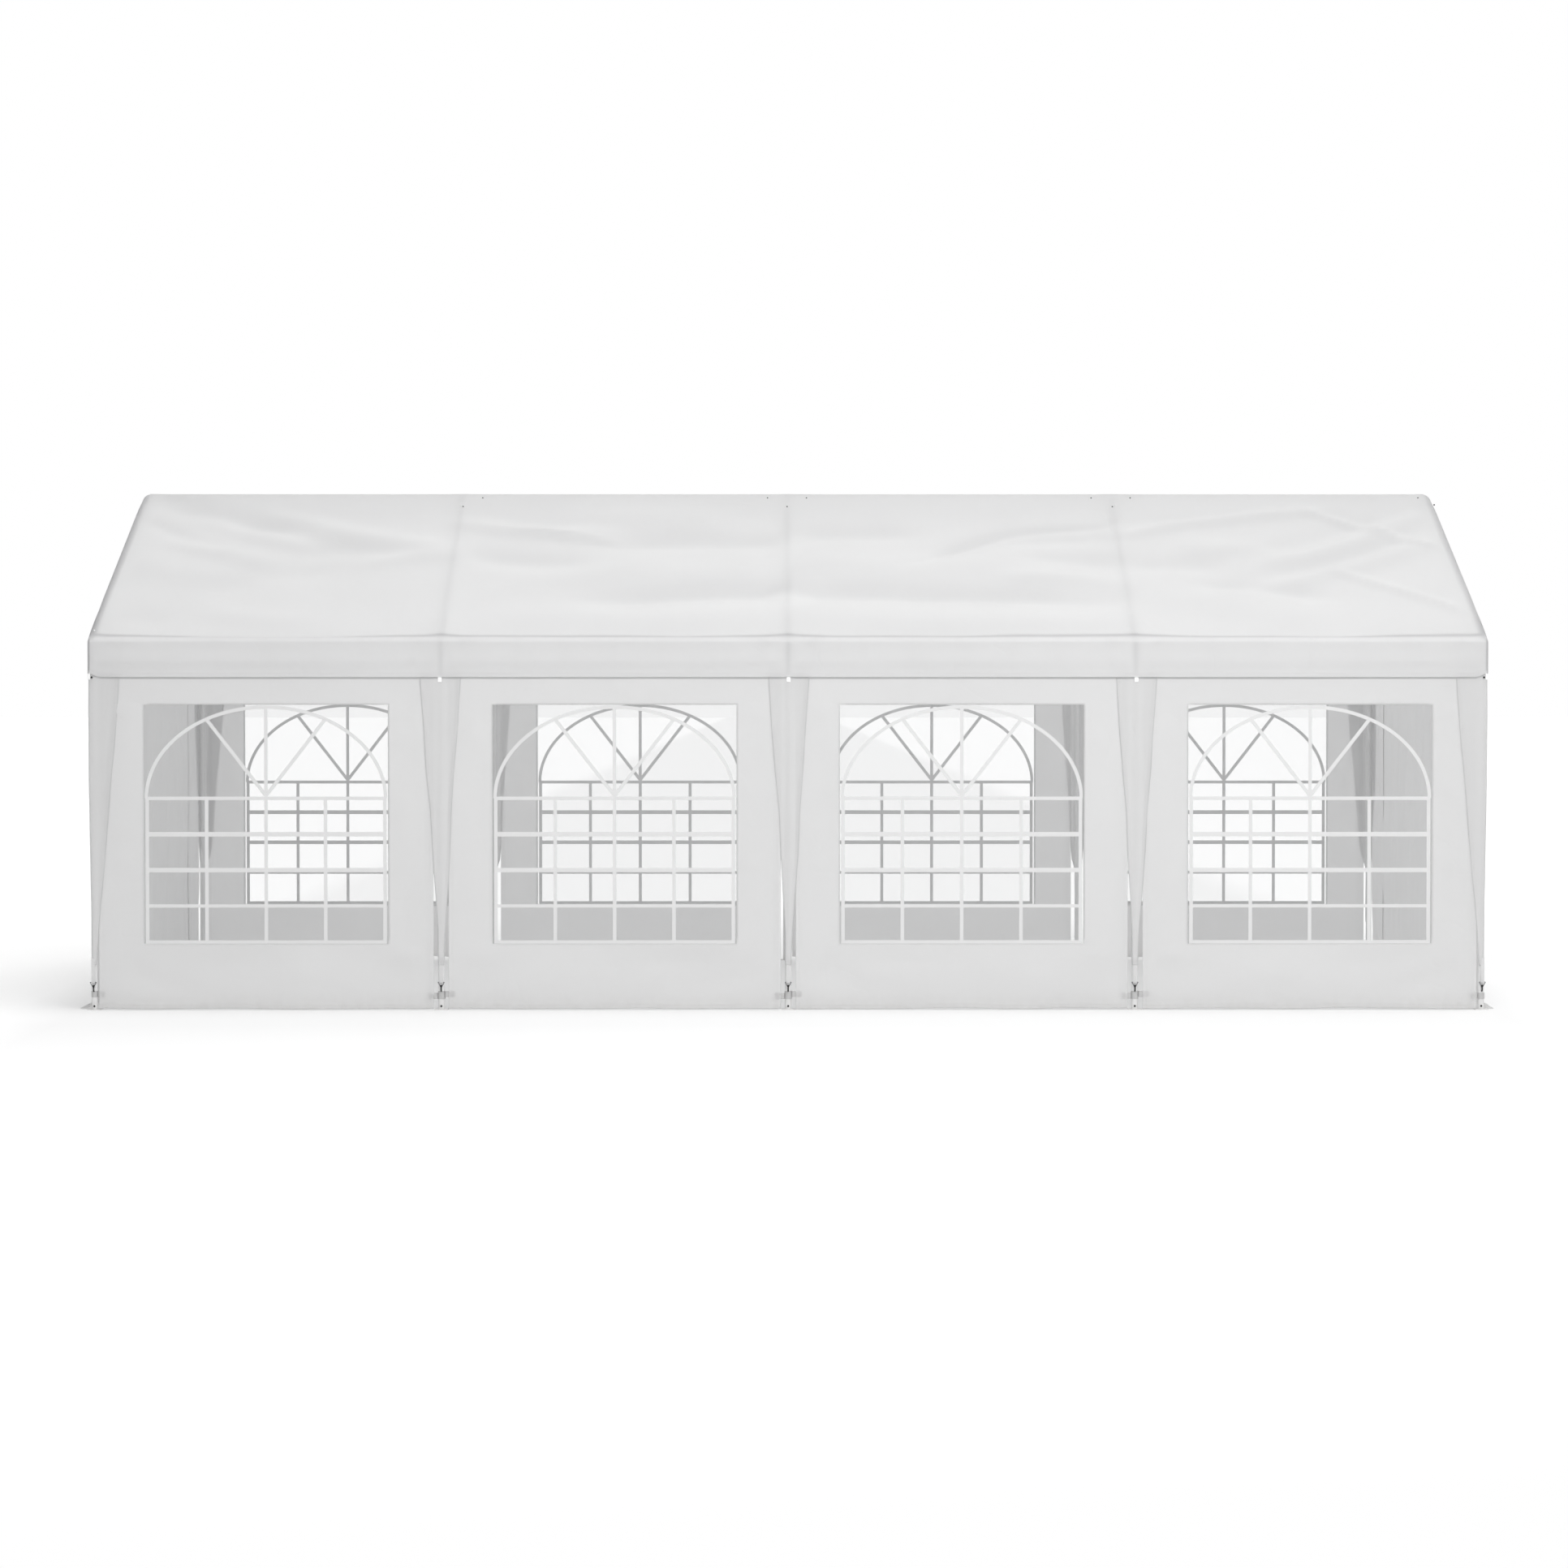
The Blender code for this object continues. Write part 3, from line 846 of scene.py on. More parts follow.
def cover_painted_shade(place):
    """Painted shade along the sloping edges, in a band above the eave, over the rafters, on the valance at
    the posts and round its corners, and in the folds; darker near the ridge and on the valance all over.
    """
    x, y, z = place
    above_eave = SLOPE_LENGTH - (abs(y) - SLOPE_OUT * SLOPE_SIN) / SLOPE_COS
    down = SLOPE_LENGTH - max(above_eave, 0.0)
    from_line = min(abs(x - rafter_x(down, number)) for number in range(1, BAYS))
    edge = eave_band_shade = corner = 0.0
    if z > EAVE_Z:
        edge = EDGE_SHADE[-1 if x < 0 else 1] * (1 - smooth(gable_edge_distance(place) / 0.066))
        edge *= smooth((z - EAVE_Z) / 0.06)
        eave_band_shade = EAVE_SHADE * bell(above_eave - 0.046, 0.023)
    if z < EAVE_Z + 0.02:
        corner = CORNER_SHADE * smooth((min(abs(x) - END_FACE, abs(y) - SIDE_FACE) + CORNER_ROUND) / 0.005)
    if z > EAVE_Z and abs(x) < HALF_LENGTH:
        tube_shade = RAFTER_SHADE * bell(from_line, 0.022) * smooth((down - 0.1) / 0.3)
        spread = slope_painted_shade(x, down, y)
    else:
        tube_shade = VALANCE_POST_SHADE * bell(from_line, 0.014)
        spread = VALANCE_DARKENING
    return max(edge, eave_band_shade, corner) + tube_shade + spread


def roof_cover():
    """The one-piece cover: both slopes, the valance all round and the two upright gables."""
    profile = cover_profile()
    section = [(-1, mark) for mark in reversed(profile[1:])] + [(1, mark) for mark in profile]
    rows = [[cover_point(station, mark, side) for side, mark in section] for station in cover_stations()]
    valance = [mark for mark in profile if mark[4] == "valance"]
    bm = gridded(rows, gable_rows(-1, rows[0], valance), gable_rows(1, rows[-1], valance))
    bmesh.ops.remove_doubles(bm, verts=bm.verts, dist=2e-4)
    bmesh.ops.recalc_face_normals(bm, faces=bm.faces)
    upward = lambda centre: Vector((0, 0, centre.z > EAVE_Z + 0.1))
    cover = add_sheet(
        "roof_sheet", bm, upward, ROOF_FABRIC, "roof_fabric", node="roof_cover", painted_shade=cover_painted_shade
    )


roof_cover()


# Side walls

PULL_DEPTH = 3.6
BACK_GAP = 0.012
WELD_MARKS = (0.016, 0.013, 0.0)

# Pulls round a window in mm: (x from its middle, z) of both ends, bow, half width and rise
WINDOW_PULLS = metres(
    (680, 1700, 950, 1780, 10, 30, 3), (700, 1300, 950, 1220, 0, 45, 2),
    (720, 860, 950, 820, 0, 30, 2.5), (-720, 1520, -950, 1660, 10, 50, 3),
    (-950, 300, -420, 420, 20, 45, 3), (-100, 240, 660, 340, 30, 90, -3),
    (-600, 160, 300, 200, -30, 80, 3), (400, 100, 850, 260, 20, 70, -3),
)

# Heights of a shadow line painted under the valance's hem on what hangs behind it
HEM_SHADOW_Z = 1.9140
HEM_SHADOW_SHARE = 0.50
HEM_SHADOW_LEVELS = [HEM_SHADOW_Z + shift for shift in (-0.010, -0.006, -0.003, 0.0, 0.003, 0.006, 0.010)]


def panel_edge(number):
    """How far a panel's upright edge is from the middle of this frame."""
    return PANEL_END_EDGE if number in (0, BAYS) else PANEL_EDGE


def panel_span(bay):
    """The x of a wall panel's two upright edges, and of its window's middle."""
    left = frame_x(bay) + panel_edge(bay)
    right = frame_x(bay + 1) - panel_edge(bay + 1)
    return left, right, (left + right) / 2


def window_distance(x, z):
    """How far a place on the panel, with x from the window's middle, is outside the window's edge."""
    return hypot(max(abs(x) - WINDOW_HALF, 0), max(WINDOW_SILL - z, z - WINDOW_HEAD, 0))


def film_relief(x, z, seed):
    """Slack in the film: held flat at its welded edge."""
    inside = min(WINDOW_HALF - abs(x), z - WINDOW_SILL, WINDOW_HEAD - z)
    return 0.004 * smooth(inside / 0.25) * waves(x, 0.6 * z, 0.6, 20 + seed)


def panel_relief(x, z, bay, seed):
    """How far a wall panel stands out from flat, with x from the window's middle."""
    left, right, middle = panel_span(bay)
    edge = min(x + middle - left, right - x - middle)
    flip = 1 if seed % 2 else -1
    free = smooth((edge - 0.05) / 0.12) * smooth(window_distance(x, z) / 0.10) * smooth((PANEL_TOP - z) / 0.3)
    soft = 0.014 * waves(x, z, 0.5, seed) + PULL_DEPTH * fold_height(flip * x, z, WINDOW_PULLS)
    low = smooth((0.22 - z) / 0.22) * smooth((edge - 0.02) / 0.10)
    foot = low * (0.006 + 0.014 * waves(x, 0, 0.45, seed + 0.5))
    hems = along(HEM_SECTION, edge) + along(HEM_SECTION, z - PANEL_BOTTOM)
    weld = 0.0002 * smooth((0.016 - window_distance(x, z)) / 0.003)
    return free * soft + foot + hems + weld


def hem_shadow_line(place):
    """A shadow line painted on a panel or a tail just under the valance's hem."""
    return HEM_SHADOW_SHARE * bell(place.z - HEM_SHADOW_Z - hem_lift(place.x, place.y), 0.0045)


def wall_panel(side_name, side, bay, seed):
    """One side wall with its window cut out and its edges hemmed."""
    left, right, middle = panel_span(bay)
    upright = hem_stations(left, 1) + hem_stations(right, -1)
    level = hem_stations(PANEL_BOTTOM, 1) + [PANEL_BOTTOM + 0.05, *HEM_SHADOW_LEVELS]
    for mark in WELD_MARKS:
        upright += [middle - WINDOW_HALF - mark, middle + WINDOW_HALF + mark]
        level += [WINDOW_SILL - mark, WINDOW_HEAD + mark]
    xs = stations(left, right, 0.036, upright)
    zs = stations(PANEL_BOTTOM, PANEL_TOP, 0.036, level)

    def point(x, z):
        low = smooth((0.12 - z) / 0.12)
        lift = max(0.010 * (0.35 + waves(x, 0, 0.38, seed + 3)) * low, 0)
        gap = BACK_GAP * low if side > 0 else 0
        return (x, side * (HALF_WIDTH + WALL_OUT + panel_relief(x - middle, z, bay, seed)), z + lift + gap)

    def outside_window(i, j):
        return window_distance((xs[j] + xs[j + 1]) / 2 - middle, (zs[i] + zs[i + 1]) / 2) > 0

    name = f"{side_name}_{bay + 1}"
    bm = gridded([[point(x, z) for x in xs] for z in zs], wanted=outside_window)
    cloth = (WALL_FABRIC, "wall_fabric", CLOTH)
    panel = add_sheet(f"wall_panel_{name}", bm, (0, side, 0), *cloth, f"wall_{name}", hem_shadow_line)


def window_film(side_name, side, bay, seed):
    """The clear film, welded in behind the window's edge."""
    middle = panel_span(bay)[2]
    half = WINDOW_HALF + FILM_OVERLAP
    face = HALF_WIDTH + (WALL_OUT - CLOTH - FILM_BEHIND)
    xs = stations(-half, half, 0.06)
    zs = stations(WINDOW_SILL - FILM_OVERLAP, WINDOW_HEAD + FILM_OVERLAP, 0.06)
    bm = gridded([[(middle + x, side * (face + film_relief(x, z, seed)), z) for x in xs] for z in zs])
    name = f"{side_name}_{bay + 1}"
    cloth = (CLEAR_FILM, "clear_film", FILM)
    film = add_sheet(f"window_film_{name}", bm, (0, side, 0), *cloth, f"window_{name}")


# Bars printed on the film: where their middles run, from the window's middle and from the ground
BAR_COLUMNS = (-0.684, -0.342, 0.0, 0.342, 0.684)
BAR_ROWS = (0.3925, 0.600, 0.807, 1.0135, 1.2205)
ROW_HEIGHTS = (0.019, 0.019, 0.025, 0.026, 0.020)
BAR_HALF = 0.0205 / 2
ARCH_FOOT = BAR_ROWS[-1]
ARCH_WIDE = 0.6885
ARCH_HIGH = 0.525
ARCH_BAND = 0.020
ARCH_STEPS = 72
SPOKE_FOOT = 1.235
SPOKE_RUN = (0.342, 0.441)
INK = 0.0004
INK_CELL = 0.065


def clip(polygon, point, normal):
    """The part of a convex polygon on the normal's side of a line through the point."""
    kept = []
    for (x0, z0), (x1, z1) in zip(polygon, polygon[1:] + polygon[:1]):
        near, far = [(x - point[0]) * normal[0] + (z - point[1]) * normal[1] for x, z in ((x0, z0), (x1, z1))]
        if near >= 0:
            kept.append((x0, z0))
        if (near >= 0) != (far >= 0):
            t = near / (near - far)
            kept.append((x0 + (x1 - x0) * t, z0 + (z1 - z0) * t))
    return kept


def half_ellipse(wide, high):
    turns = [pi * step / ARCH_STEPS for step in range(ARCH_STEPS + 1)]
    return [(wide * cos(turn), ARCH_FOOT + high * sin(turn)) for turn in turns]


def arch_openings():
    """The four clear fields between the arch, its spokes and the top cross bar."""
    inner = half_ellipse(ARCH_WIDE - ARCH_BAND / 2, ARCH_HIGH - ARCH_BAND / 2)
    inner = clip(inner, (0, ARCH_FOOT + ROW_HEIGHTS[-1] / 2), (0, 1))
    spoke = Vector(SPOKE_RUN).normalized()
    below, above = [
        clip(inner, (a * BAR_HALF, SPOKE_FOOT + b * BAR_HALF), (a, b))
        for a, b in ((spoke.y, -spoke.x), (-spoke.y, spoke.x))
    ]
    fields = [below, clip(above, (BAR_HALF, 0), (1, 0))]
    return fields + [[(-x, z) for x, z in reversed(field)] for field in fields]


def grid_openings():
    """The clear fields between the level and upright bars below the arch."""
    rows = list(zip(BAR_ROWS, ROW_HEIGHTS))
    fields = []
    for left, right in zip(BAR_COLUMNS, BAR_COLUMNS[1:]):
        for (low, low_height), (high, high_height) in zip(rows, rows[1:]):
            x0, x1 = left + BAR_HALF, right - BAR_HALF
            z0, z1 = low + low_height / 2, high - high_height / 2
            fields.append([(x0, z0), (x1, z0), (x1, z1), (x0, z1)])
    return fields


def bars_outline():
    """The outside of all the bars: an arch over a slightly narrower rectangle."""
    edge = BAR_COLUMNS[-1] + BAR_HALF
    foot = BAR_ROWS[0] - ROW_HEIGHTS[0] / 2
    arch = half_ellipse(ARCH_WIDE + ARCH_BAND / 2, ARCH_HIGH + ARCH_BAND / 2)
    return arch + [(-edge, ARCH_FOOT), (-edge, foot), (edge, foot), (edge, ARCH_FOOT)]


def cut_across(bm, place, normal):
    """Cuts all faces along a plane, and keeps both halves."""
    geometry = bm.verts[:] + bm.edges[:] + bm.faces[:]
    bmesh.ops.bisect_plane(bm, geom=geometry, plane_co=place, plane_no=normal, dist=1e-6)


def printed_plate():
    """A flat mesh of all the bars in x and y, cut finely enough to follow the film."""
    curve = bpy.data.curves.new("bars", "CURVE")
    curve.dimensions = "2D"
    curve.fill_mode = "BOTH"
    curve.extrude = INK / 2
    for field in [bars_outline(), *grid_openings(), *arch_openings()]:
        spline = curve.splines.new("POLY")
        spline.points.add(len(field) - 1)
        for point, (x, z) in zip(spline.points, field):
            point.co = (x, z, 0, 1)
        spline.use_cyclic_u = True
    holder = bpy.data.objects.new("bars", curve)
    mesh = bpy.data.meshes.new_from_object(holder)
    bpy.data.objects.remove(holder)
    bm = bmesh.new()
    bm.from_mesh(mesh)
    bpy.data.meshes.remove(mesh)
    bmesh.ops.remove_doubles(bm, verts=bm.verts, dist=1e-5)
    for i in range(-10, 11):
        cut_across(bm, (INK_CELL * i, 0, 0), (1, 0, 0))
    for i in range(1, 22):
        cut_across(bm, (0, WINDOW_SILL + INK_CELL * i, 0), (0, 1, 0))
    return bm


PLATE = printed_plate()


def window_print(side_name, side, bay, seed):
    """The white bars printed on the film's outer face."""
    middle = panel_span(bay)[2]
    bm = PLATE.copy()
    for vert in bm.verts:
        x, z, ink = vert.co
        out = WALL_OUT - CLOTH + INK_BEFORE + film_relief(x, z, seed) + ink
        vert.co = (middle + x, side * (HALF_WIDTH + out), z)
    add_solid(f"window_print_{side_name}_{bay + 1}", bm, WHITE_PRINT, "white_print", 30)


for side_name, side in SIDES:
    for bay in range(BAYS):
        seed = bay + (10 if side > 0 else 0)
        wall_panel(side_name, side, bay, seed)
        window_film(side_name, side, bay, seed)
        window_print(side_name, side, bay, seed)
PLATE.free()


# Tapered tails over the posts, which hold the cover down

# In mm: height, and half the tail's width over a middle post
MIDDLE_TAIL = metres(
    (260, 16.5), (300, 18.5), (439, 21.5), (602, 31), (673, 36), (789, 44),
    (906, 51.5), (1140, 61.5), (1373, 81.7), (1607, 98), (1890, 117), (2101, 126),
)
# In mm: height, and the tail's reach from a corner post along its side wall
CORNER_TAIL = metres(
    (260, 17), (299, 18.7), (439, 27), (603, 41.5), (785, 61.5), (906, 71.5),
    (1140, 90), (1373, 109), (1513, 124.7), (1747, 143.4), (1887, 152), (2101, 160),
)
# In mm: how far a tail's middle wanders along the ridge at these heights; the ones at the back hang straight
SWAY_HEIGHTS = (300, 440, 670, 910, 1140, 1370, 1610, 1900)
TAIL_SWAY = {
    1: metres(*zip(SWAY_HEIGHTS, (0, 2.7, 4, 3, 0, -4, 0, -2))),
    2: metres(*zip(SWAY_HEIGHTS, (0, 3.5, 5, 8, 8, 5, 2, 4))),
    3: metres(*zip(SWAY_HEIGHTS, (0, 2, 5, 7, 8, 7, 4.5, 6))),
}
TAIL_TOP = 1.936
TAIL_TIP = 0.26
TAIL_HEM = 0.6
TAIL_EDGE_SHADE = 0.30
TAIL_HEIGHTS = stations(TAIL_TIP, TAIL_TOP, 0.035, [TAIL_TIP + 0.004, TAIL_TIP + 0.012, *HEM_SHADOW_LEVELS])


def tail_reach(widths, z, side):
    """A tail's width at this height: the ones at the back narrow higher up."""
    if side < 0:
        return along(widths, z)
    return min(along(widths, z), 0.0172 + 0.35 * max(0.0, z - 0.63))


def add_tail(side_name, number, rows, outward, inside):
    """A tail from its rows of points; inside(place) is how far in from its long edges a point lies."""

    # Painted shade along the tail's long edges, and the painted shadow line under the valance's hem
    def painted_shade(place):
        return max(hem_shadow_line(place), TAIL_EDGE_SHADE * (1 - smooth(inside(place) / 0.005)))

    name = f"{side_name}_{number + 1}"
    bm = gridded(rows)
    node = f"post_cover_{name}"
    tail = add_sheet(f"tail_{name}", bm, outward, TAIL_FABRIC, "roof_fabric", node=node, painted_shade=painted_shade)


def middle_tail(side_name, side, number):
    """A tail over a middle post: flat over the panels' edges, bulging slightly over the post."""
    post_x = frame_x(number)
    seed = number + 5 * side

    def sway(z):
        return along(TAIL_SWAY[number], z) if side < 0 else 0.0

    rows = []
    for z in TAIL_HEIGHTS:
        half = tail_reach(MIDDLE_TAIL, z, side)
        hem_scale = TAIL_HEM * min(1, half / 0.03)
        hem = [distance * hem_scale for distance, _ in HEM_SECTION]
        offsets = [-half + d for d in hem] + [(half - hem[-1]) * (i / 5 - 1) for i in range(1, 10)]
        row = []
        for offset in offsets + [half - d for d in reversed(hem)]:
            share = abs(offset) / half
            bulge = 0.004 * bell(offset, 0.022) + 0.0015 * waves(z, offset, 0.2, seed + 1)
            curl = 0.005 * smooth((0.75 - z) / 0.4) * share**3
            wavy = 0.0015 * waves(z, copysign(1, offset), 0.25, seed + 2) * share
            out = TAIL_OUT + bulge + along(HEM_SECTION, (half - abs(offset)) / hem_scale) - curl
            row.append((post_x + offset + sway(z) + wavy, side * (HALF_WIDTH + out), z))
        rows.append(row)

    def inside(place):
        return tail_reach(MIDDLE_TAIL, place.z, side) - abs(place.x - post_x - sway(place.z))

    add_tail(side_name, number, rows, (0, side, 0), inside)


def corner_tail(side_name, side, number):
    """A tail folded round a corner post."""
    end = 1 if number else -1
    seed = number + 7 * side
    centre = COVER_OUT - CORNER_ROUND
    radius = TAIL_OUT - centre
    fold = [(centre + radius * sin(turn), centre + radius * cos(turn)) for turn in quarter_turns()]
    rows = []
    for z in TAIL_HEIGHTS:
        reach = tail_reach(CORNER_TAIL, z, side)
        lean = 0.0135 * (1 - smooth((z - 0.25) / 1.3))
        end_share = 0.35 + 0.65 * smooth((z - 0.55) / 0.6)
        hem = [distance * min(1, reach / 0.06) * TAIL_HEM for distance, _ in HEM_SECTION]
        flat = [-reach + d for d in hem] + [-reach + (reach + centre) * i / 6 for i in range(2, 6)]
        leg = [(a, TAIL_OUT + along(HEM_SECTION, (a + reach) / TAIL_HEM)) for a in flat]
        row = []
        for a, b in leg + fold + [(b, a) for a, b in reversed(leg)]:
            sway = 0.002 * waves(z, a - b, 0.22, seed)
            if b < centre:
                b = centre + (b - centre) * end_share
            inward = lean * smooth((a + reach) / reach)
            row.append((end * (HALF_LENGTH + a - inward + sway), side * (HALF_WIDTH + b + max(sway, 0)), z))
        rows.append(row)

    def outward(place):
        return Vector((end * (abs(place.x) > HALF_LENGTH), side * (abs(place.y) > HALF_WIDTH), 0))

    def inside(place):
        past = min(abs(place.x) - HALF_LENGTH, abs(place.y) - HALF_WIDTH)
        return past + tail_reach(CORNER_TAIL, place.z, side)

    add_tail(side_name, number, rows, outward, inside)


for side_name, side in SIDES:
    for number in range(BAYS + 1):
        make_tail = corner_tail if number in (0, BAYS) else middle_tail
        make_tail(side_name, side, number)


# Ends

END_SEED = 30
END_TOP = EAVE_Z - 0.004
ZIP_TAPE = 0.030
TAPE_THICKNESS = 0.0007
TOOTH_PITCH = 0.006
SLIDER_Z = 0.11


def end_path(top):
    """(distance out, height) down an end wall from this height to its turned-out foot."""
    path = [(0.0, height) for height in stations(PANEL_BOTTOM + FLARE_ROUND, top, 0.06)[::-1]]
    for turn in quarter_turns()[1:]:
        path.append((FLARE_ROUND * (1 - cos(turn)), PANEL_BOTTOM + FLARE_ROUND * (1 - sin(turn))))
    return path + [(0.055, PANEL_BOTTOM), (FLARE_REACH, PANEL_BOTTOM)]


def end_relief(y, z, seed):
    """Hanging folds of an end wall: long, upright and wandering, deepest half way down."""
    place = y + (0.16 * waves(z, y, 0.9, seed) + 0.05 * waves(z, y, 0.35, seed + 1))
    pleats = waves(place, 0.12 * z, 0.17, seed + 2) + 0.6 * waves(place, 0.1 * z, 0.33, seed + 3)
    held = smooth((DOOR_TOP + 0.1 - z) / 0.5) * smooth((END_EDGE - abs(y)) / 0.10)
    low = 0.45 + 0.55 * smooth((z - 0.05) / 0.5)
    zipped = 0.25 + 0.75 * smooth((abs(abs(y) - DOOR_HALF_WIDTH) - 0.03) / 0.16)
    return 0.045 * pleats * held * low * zipped


def end_point(side, y, out, height):
    """A point of an end's fabric, from its place on the flat path."""
    seed = END_SEED + side
    relief = end_relief(y, height, seed)
    if out > 0:
        relief *= 1 - smooth(out / FLARE_ROUND)
        height += 0.012 * max(0.0, waves(y, 0, 0.3, seed + 5)) * smooth(out / FLARE_REACH)
        out += 0.02 * waves(y, 0, 0.4, seed + 4) * smooth(out / FLARE_REACH)
    return (side * (HALF_LENGTH + WALL_OUT + out + relief), y, height)


def end_rows(side, columns, path):
    return [[end_point(side, y, out, height) for y in columns] for out, height in path]


def end_wall(end_name, side):
    """The fabric of an end beside and over its doorway."""
    columns = stations(-END_EDGE, END_EDGE, 0.03, (-DOOR_HALF_WIDTH, DOOR_HALF_WIDTH))
    grids = [end_rows(side, columns, [(0.0, height) for height in stations(DOOR_TOP, END_TOP, 0.03)[::-1]])]
    for way in (-1, 1):
        strip = [y for y in columns if way * y >= DOOR_HALF_WIDTH - 1e-6]
        grids.append(end_rows(side, strip, end_path(DOOR_TOP)))
    bm = gridded(*grids)
    node = f"end_wall_{end_name}"
    wall = add_sheet(f"end_fabric_{end_name}", bm, (side, 0, 0), WALL_FABRIC, "wall_fabric", node=node)


def door_panel(end_name, side):
    """The door between its two zips."""
    half = DOOR_HALF_WIDTH - 0.0004
    bm = gridded(end_rows(side, stations(-half, half, 0.03), end_path(DOOR_TOP - 0.0004)))
    node = f"door_{end_name}"
    door = add_sheet(f"door_panel_{end_name}", bm, (side, 0, 0), WALL_FABRIC, "wall_fabric", node=node)


def door_zips(end_name, side):
    """Two zips: tape, teeth and slider, along the door's upright edges."""
    teeth = bmesh.new()
    tapes = []
    heights = stations(PANEL_BOTTOM + FLARE_ROUND, DOOR_TOP, 0.03)
    shifts = [way * shift for way in (-1, 1) for shift in (ZIP_TAPE / 2, ZIP_TAPE / 2 - 0.002, 0.003)]

    def zip_point(y, z, proud):
        x, y, height = end_point(side, y, 0.0, z)
        return (x + side * proud, y, height)

    for edge in (-DOOR_HALF_WIDTH, DOOR_HALF_WIDTH):
        tapes.append([[zip_point(edge + shift, z, 0.0009) for shift in sorted(shifts)] for z in heights])
        for i in range(int((heights[-1] - heights[0]) / TOOTH_PITCH)):
            z = heights[0] + TOOTH_PITCH * (i + 0.5)
            add_box(teeth, zip_point(edge, z, 0.002), (0.0022, 0.006, 0.0032))
        add_box(teeth, zip_point(edge, SLIDER_Z, 0.004), (0.006, 0.011, 0.016))
        x, y, height = zip_point(edge, SLIDER_Z, 0.0075)
        add_box(teeth, (x, y, height - 0.022), (0.0016, 0.006, 0.034))
    bm = gridded(*tapes)
    add_sheet(f"zip_tapes_{end_name}", bm, (side, 0, 0), WHITE_WEBBING, "white_webbing", TAPE_THICKNESS)
    add_piece(f"zip_teeth_{end_name}", teeth, ZIP_TEETH, "white_print", 30)


for end_name, side in ENDS:
    end_wall(end_name, side)
    door_panel(end_name, side)
    door_zips(end_name, side)


# Small parts: paths in mm as (out from the post line, height)

CORNER_SHIFT = 0.0045
STRAP_LOOP = metres(
    (29.5, 300), (29.7, 200), (29.4, 163), (27.5, 156), (25, 156.4), (23.8, 160), (24.5, 170), (26.2, 200)
)
HOOK = metres(
    (12, 108), (24, 108), (30, 112), (31.8, 120), (31.5, 132),
    (29, 138.5), (25.5, 139), (22.5, 135), (22, 129),
)
MIDDLE_TAB = metres((29.6, 1945), (34.5, 1917), (37.2, 1892.5), (36.2, 1891), (35, 1892.5), (29, 1940))
CORNER_TAB = metres((23.5, 1955), (26.2, 1912), (25.2, 1905), (23.5, 1906), (22.5, 1950))
TAB_SHIFTS = {1: -0.004, 2: 0.002, 3: 0.004}

# A wire ring's three corners as (across, height), and where its wire starts to bend towards the next one
RING_CORNERS = metres((-18.5, 160), (18.5, 160), (0, 129))
RING_BENDS = (0.16, 0.08, 0.03)
RING_WIRE = 0.0022
RING_OUT = 0.0265
TIE_HEIGHT = 0.035
TIE_OUT = 0.0222
LOOP_WIRE = 0.0018
LOOP_SHIFTS = (-0.84, -0.56, -0.28, 0.0, 0.28, 0.56, 0.84)

# Bolts: how far from the middle of a connector they sit along its arms, down the slopes and down the post
BOLT_RADIUS = 0.0045
ARM_BOLT = 0.1225
SLOPE_BOLT = 0.2
POST_BOLT = 0.18

# How far the dark tips and the white caps beside the middle frames are off their rafters
TIP_SHIFTS = {1: (0.009, -0.008), 2: (0.0, 0.0), 3: (0.0, 0.017)}


def at_post(side, number, across, out, z):
    """A place beside a post: across to the right, out from the post line on its side, and up."""
    return (frame_x(number) + across, side * (HALF_WIDTH + out), z)


def hold_downs(side_name, side):
    """At each post's foot: the tail's strap, its wire ring and the hook that holds it to the post."""
    straps, rings, hooks = bmesh.new(), bmesh.new(), bmesh.new()
    triangle = []
    for i, (a, z) in enumerate(RING_CORNERS):
        for turn, bends in ((-1, RING_BENDS), (1, RING_BENDS[::-1])):
            b, c = RING_CORNERS[(i + turn) % 3]
            triangle += [(a + (b - a) * share, z + (c - z) * share) for share in bends]
    for number in range(BAYS + 1):
        shift = CORNER_SHIFT * {0: -1, BAYS: 1}.get(number, 0)
        strap = [at_post(side, number, shift, out, z) for out, z in STRAP_LOOP]
        add_ribbon(straps, strap, (1, 0, 0), 0.021, 0.0014)
        ring = [at_post(side, number, shift + a, RING_OUT, z) for a, z in triangle]
        add_wire(rings, ring, RING_WIRE, closed=True)
        add_wire(hooks, [at_post(side, number, shift / 2, out, z) for out, z in HOOK], 0.0040)
        add_knob(hooks, at_post(side, number, shift / 2, 0.0315, 0.1385), 0.0072)
        add_knob(hooks, at_post(side, number, 0, TUBE_RADIUS, 0.0215), 0.0060)
    add_solid(f"tail_straps_{side_name}", straps, WHITE_WEBBING, "white_webbing", 30)
    add_solid(f"wire_rings_{side_name}", rings, ZINC, "zinc_wire", 60)
    add_solid(f"foot_hooks_{side_name}", hooks, DARK_HOOK, "dark_hook", 60)


def wall_ties(side_name, side):
    """Straps near the ground that tie the panels' edges round the posts."""
    bm = bmesh.new()
    for number in range(BAYS + 1):
        for way, z, radius in ((-1, 0.080, 0.0212), (1, 0.091, 0.0198)):
            if outermost(number, way) or (side > 0 and number == 2):
                continue
            edge = panel_edge(number)
            path = [(way * (edge + 0.035), TIE_OUT), (way * (edge - 0.004), TIE_OUT), (way * 0.024, 0.0200)]
            turns = [radians(20 + 23 * step) for step in range(12)]
            path += [(way * radius * cos(turn), radius * sin(turn)) for turn in turns]
            points = [at_post(side, number, a, out, z) for a, out in path]
            add_ribbon(bm, points, (0, 0, 1), TIE_HEIGHT, 0.0012)
    add_solid(f"wall_ties_{side_name}", bm, TIE_WEBBING, "white_webbing", 30)


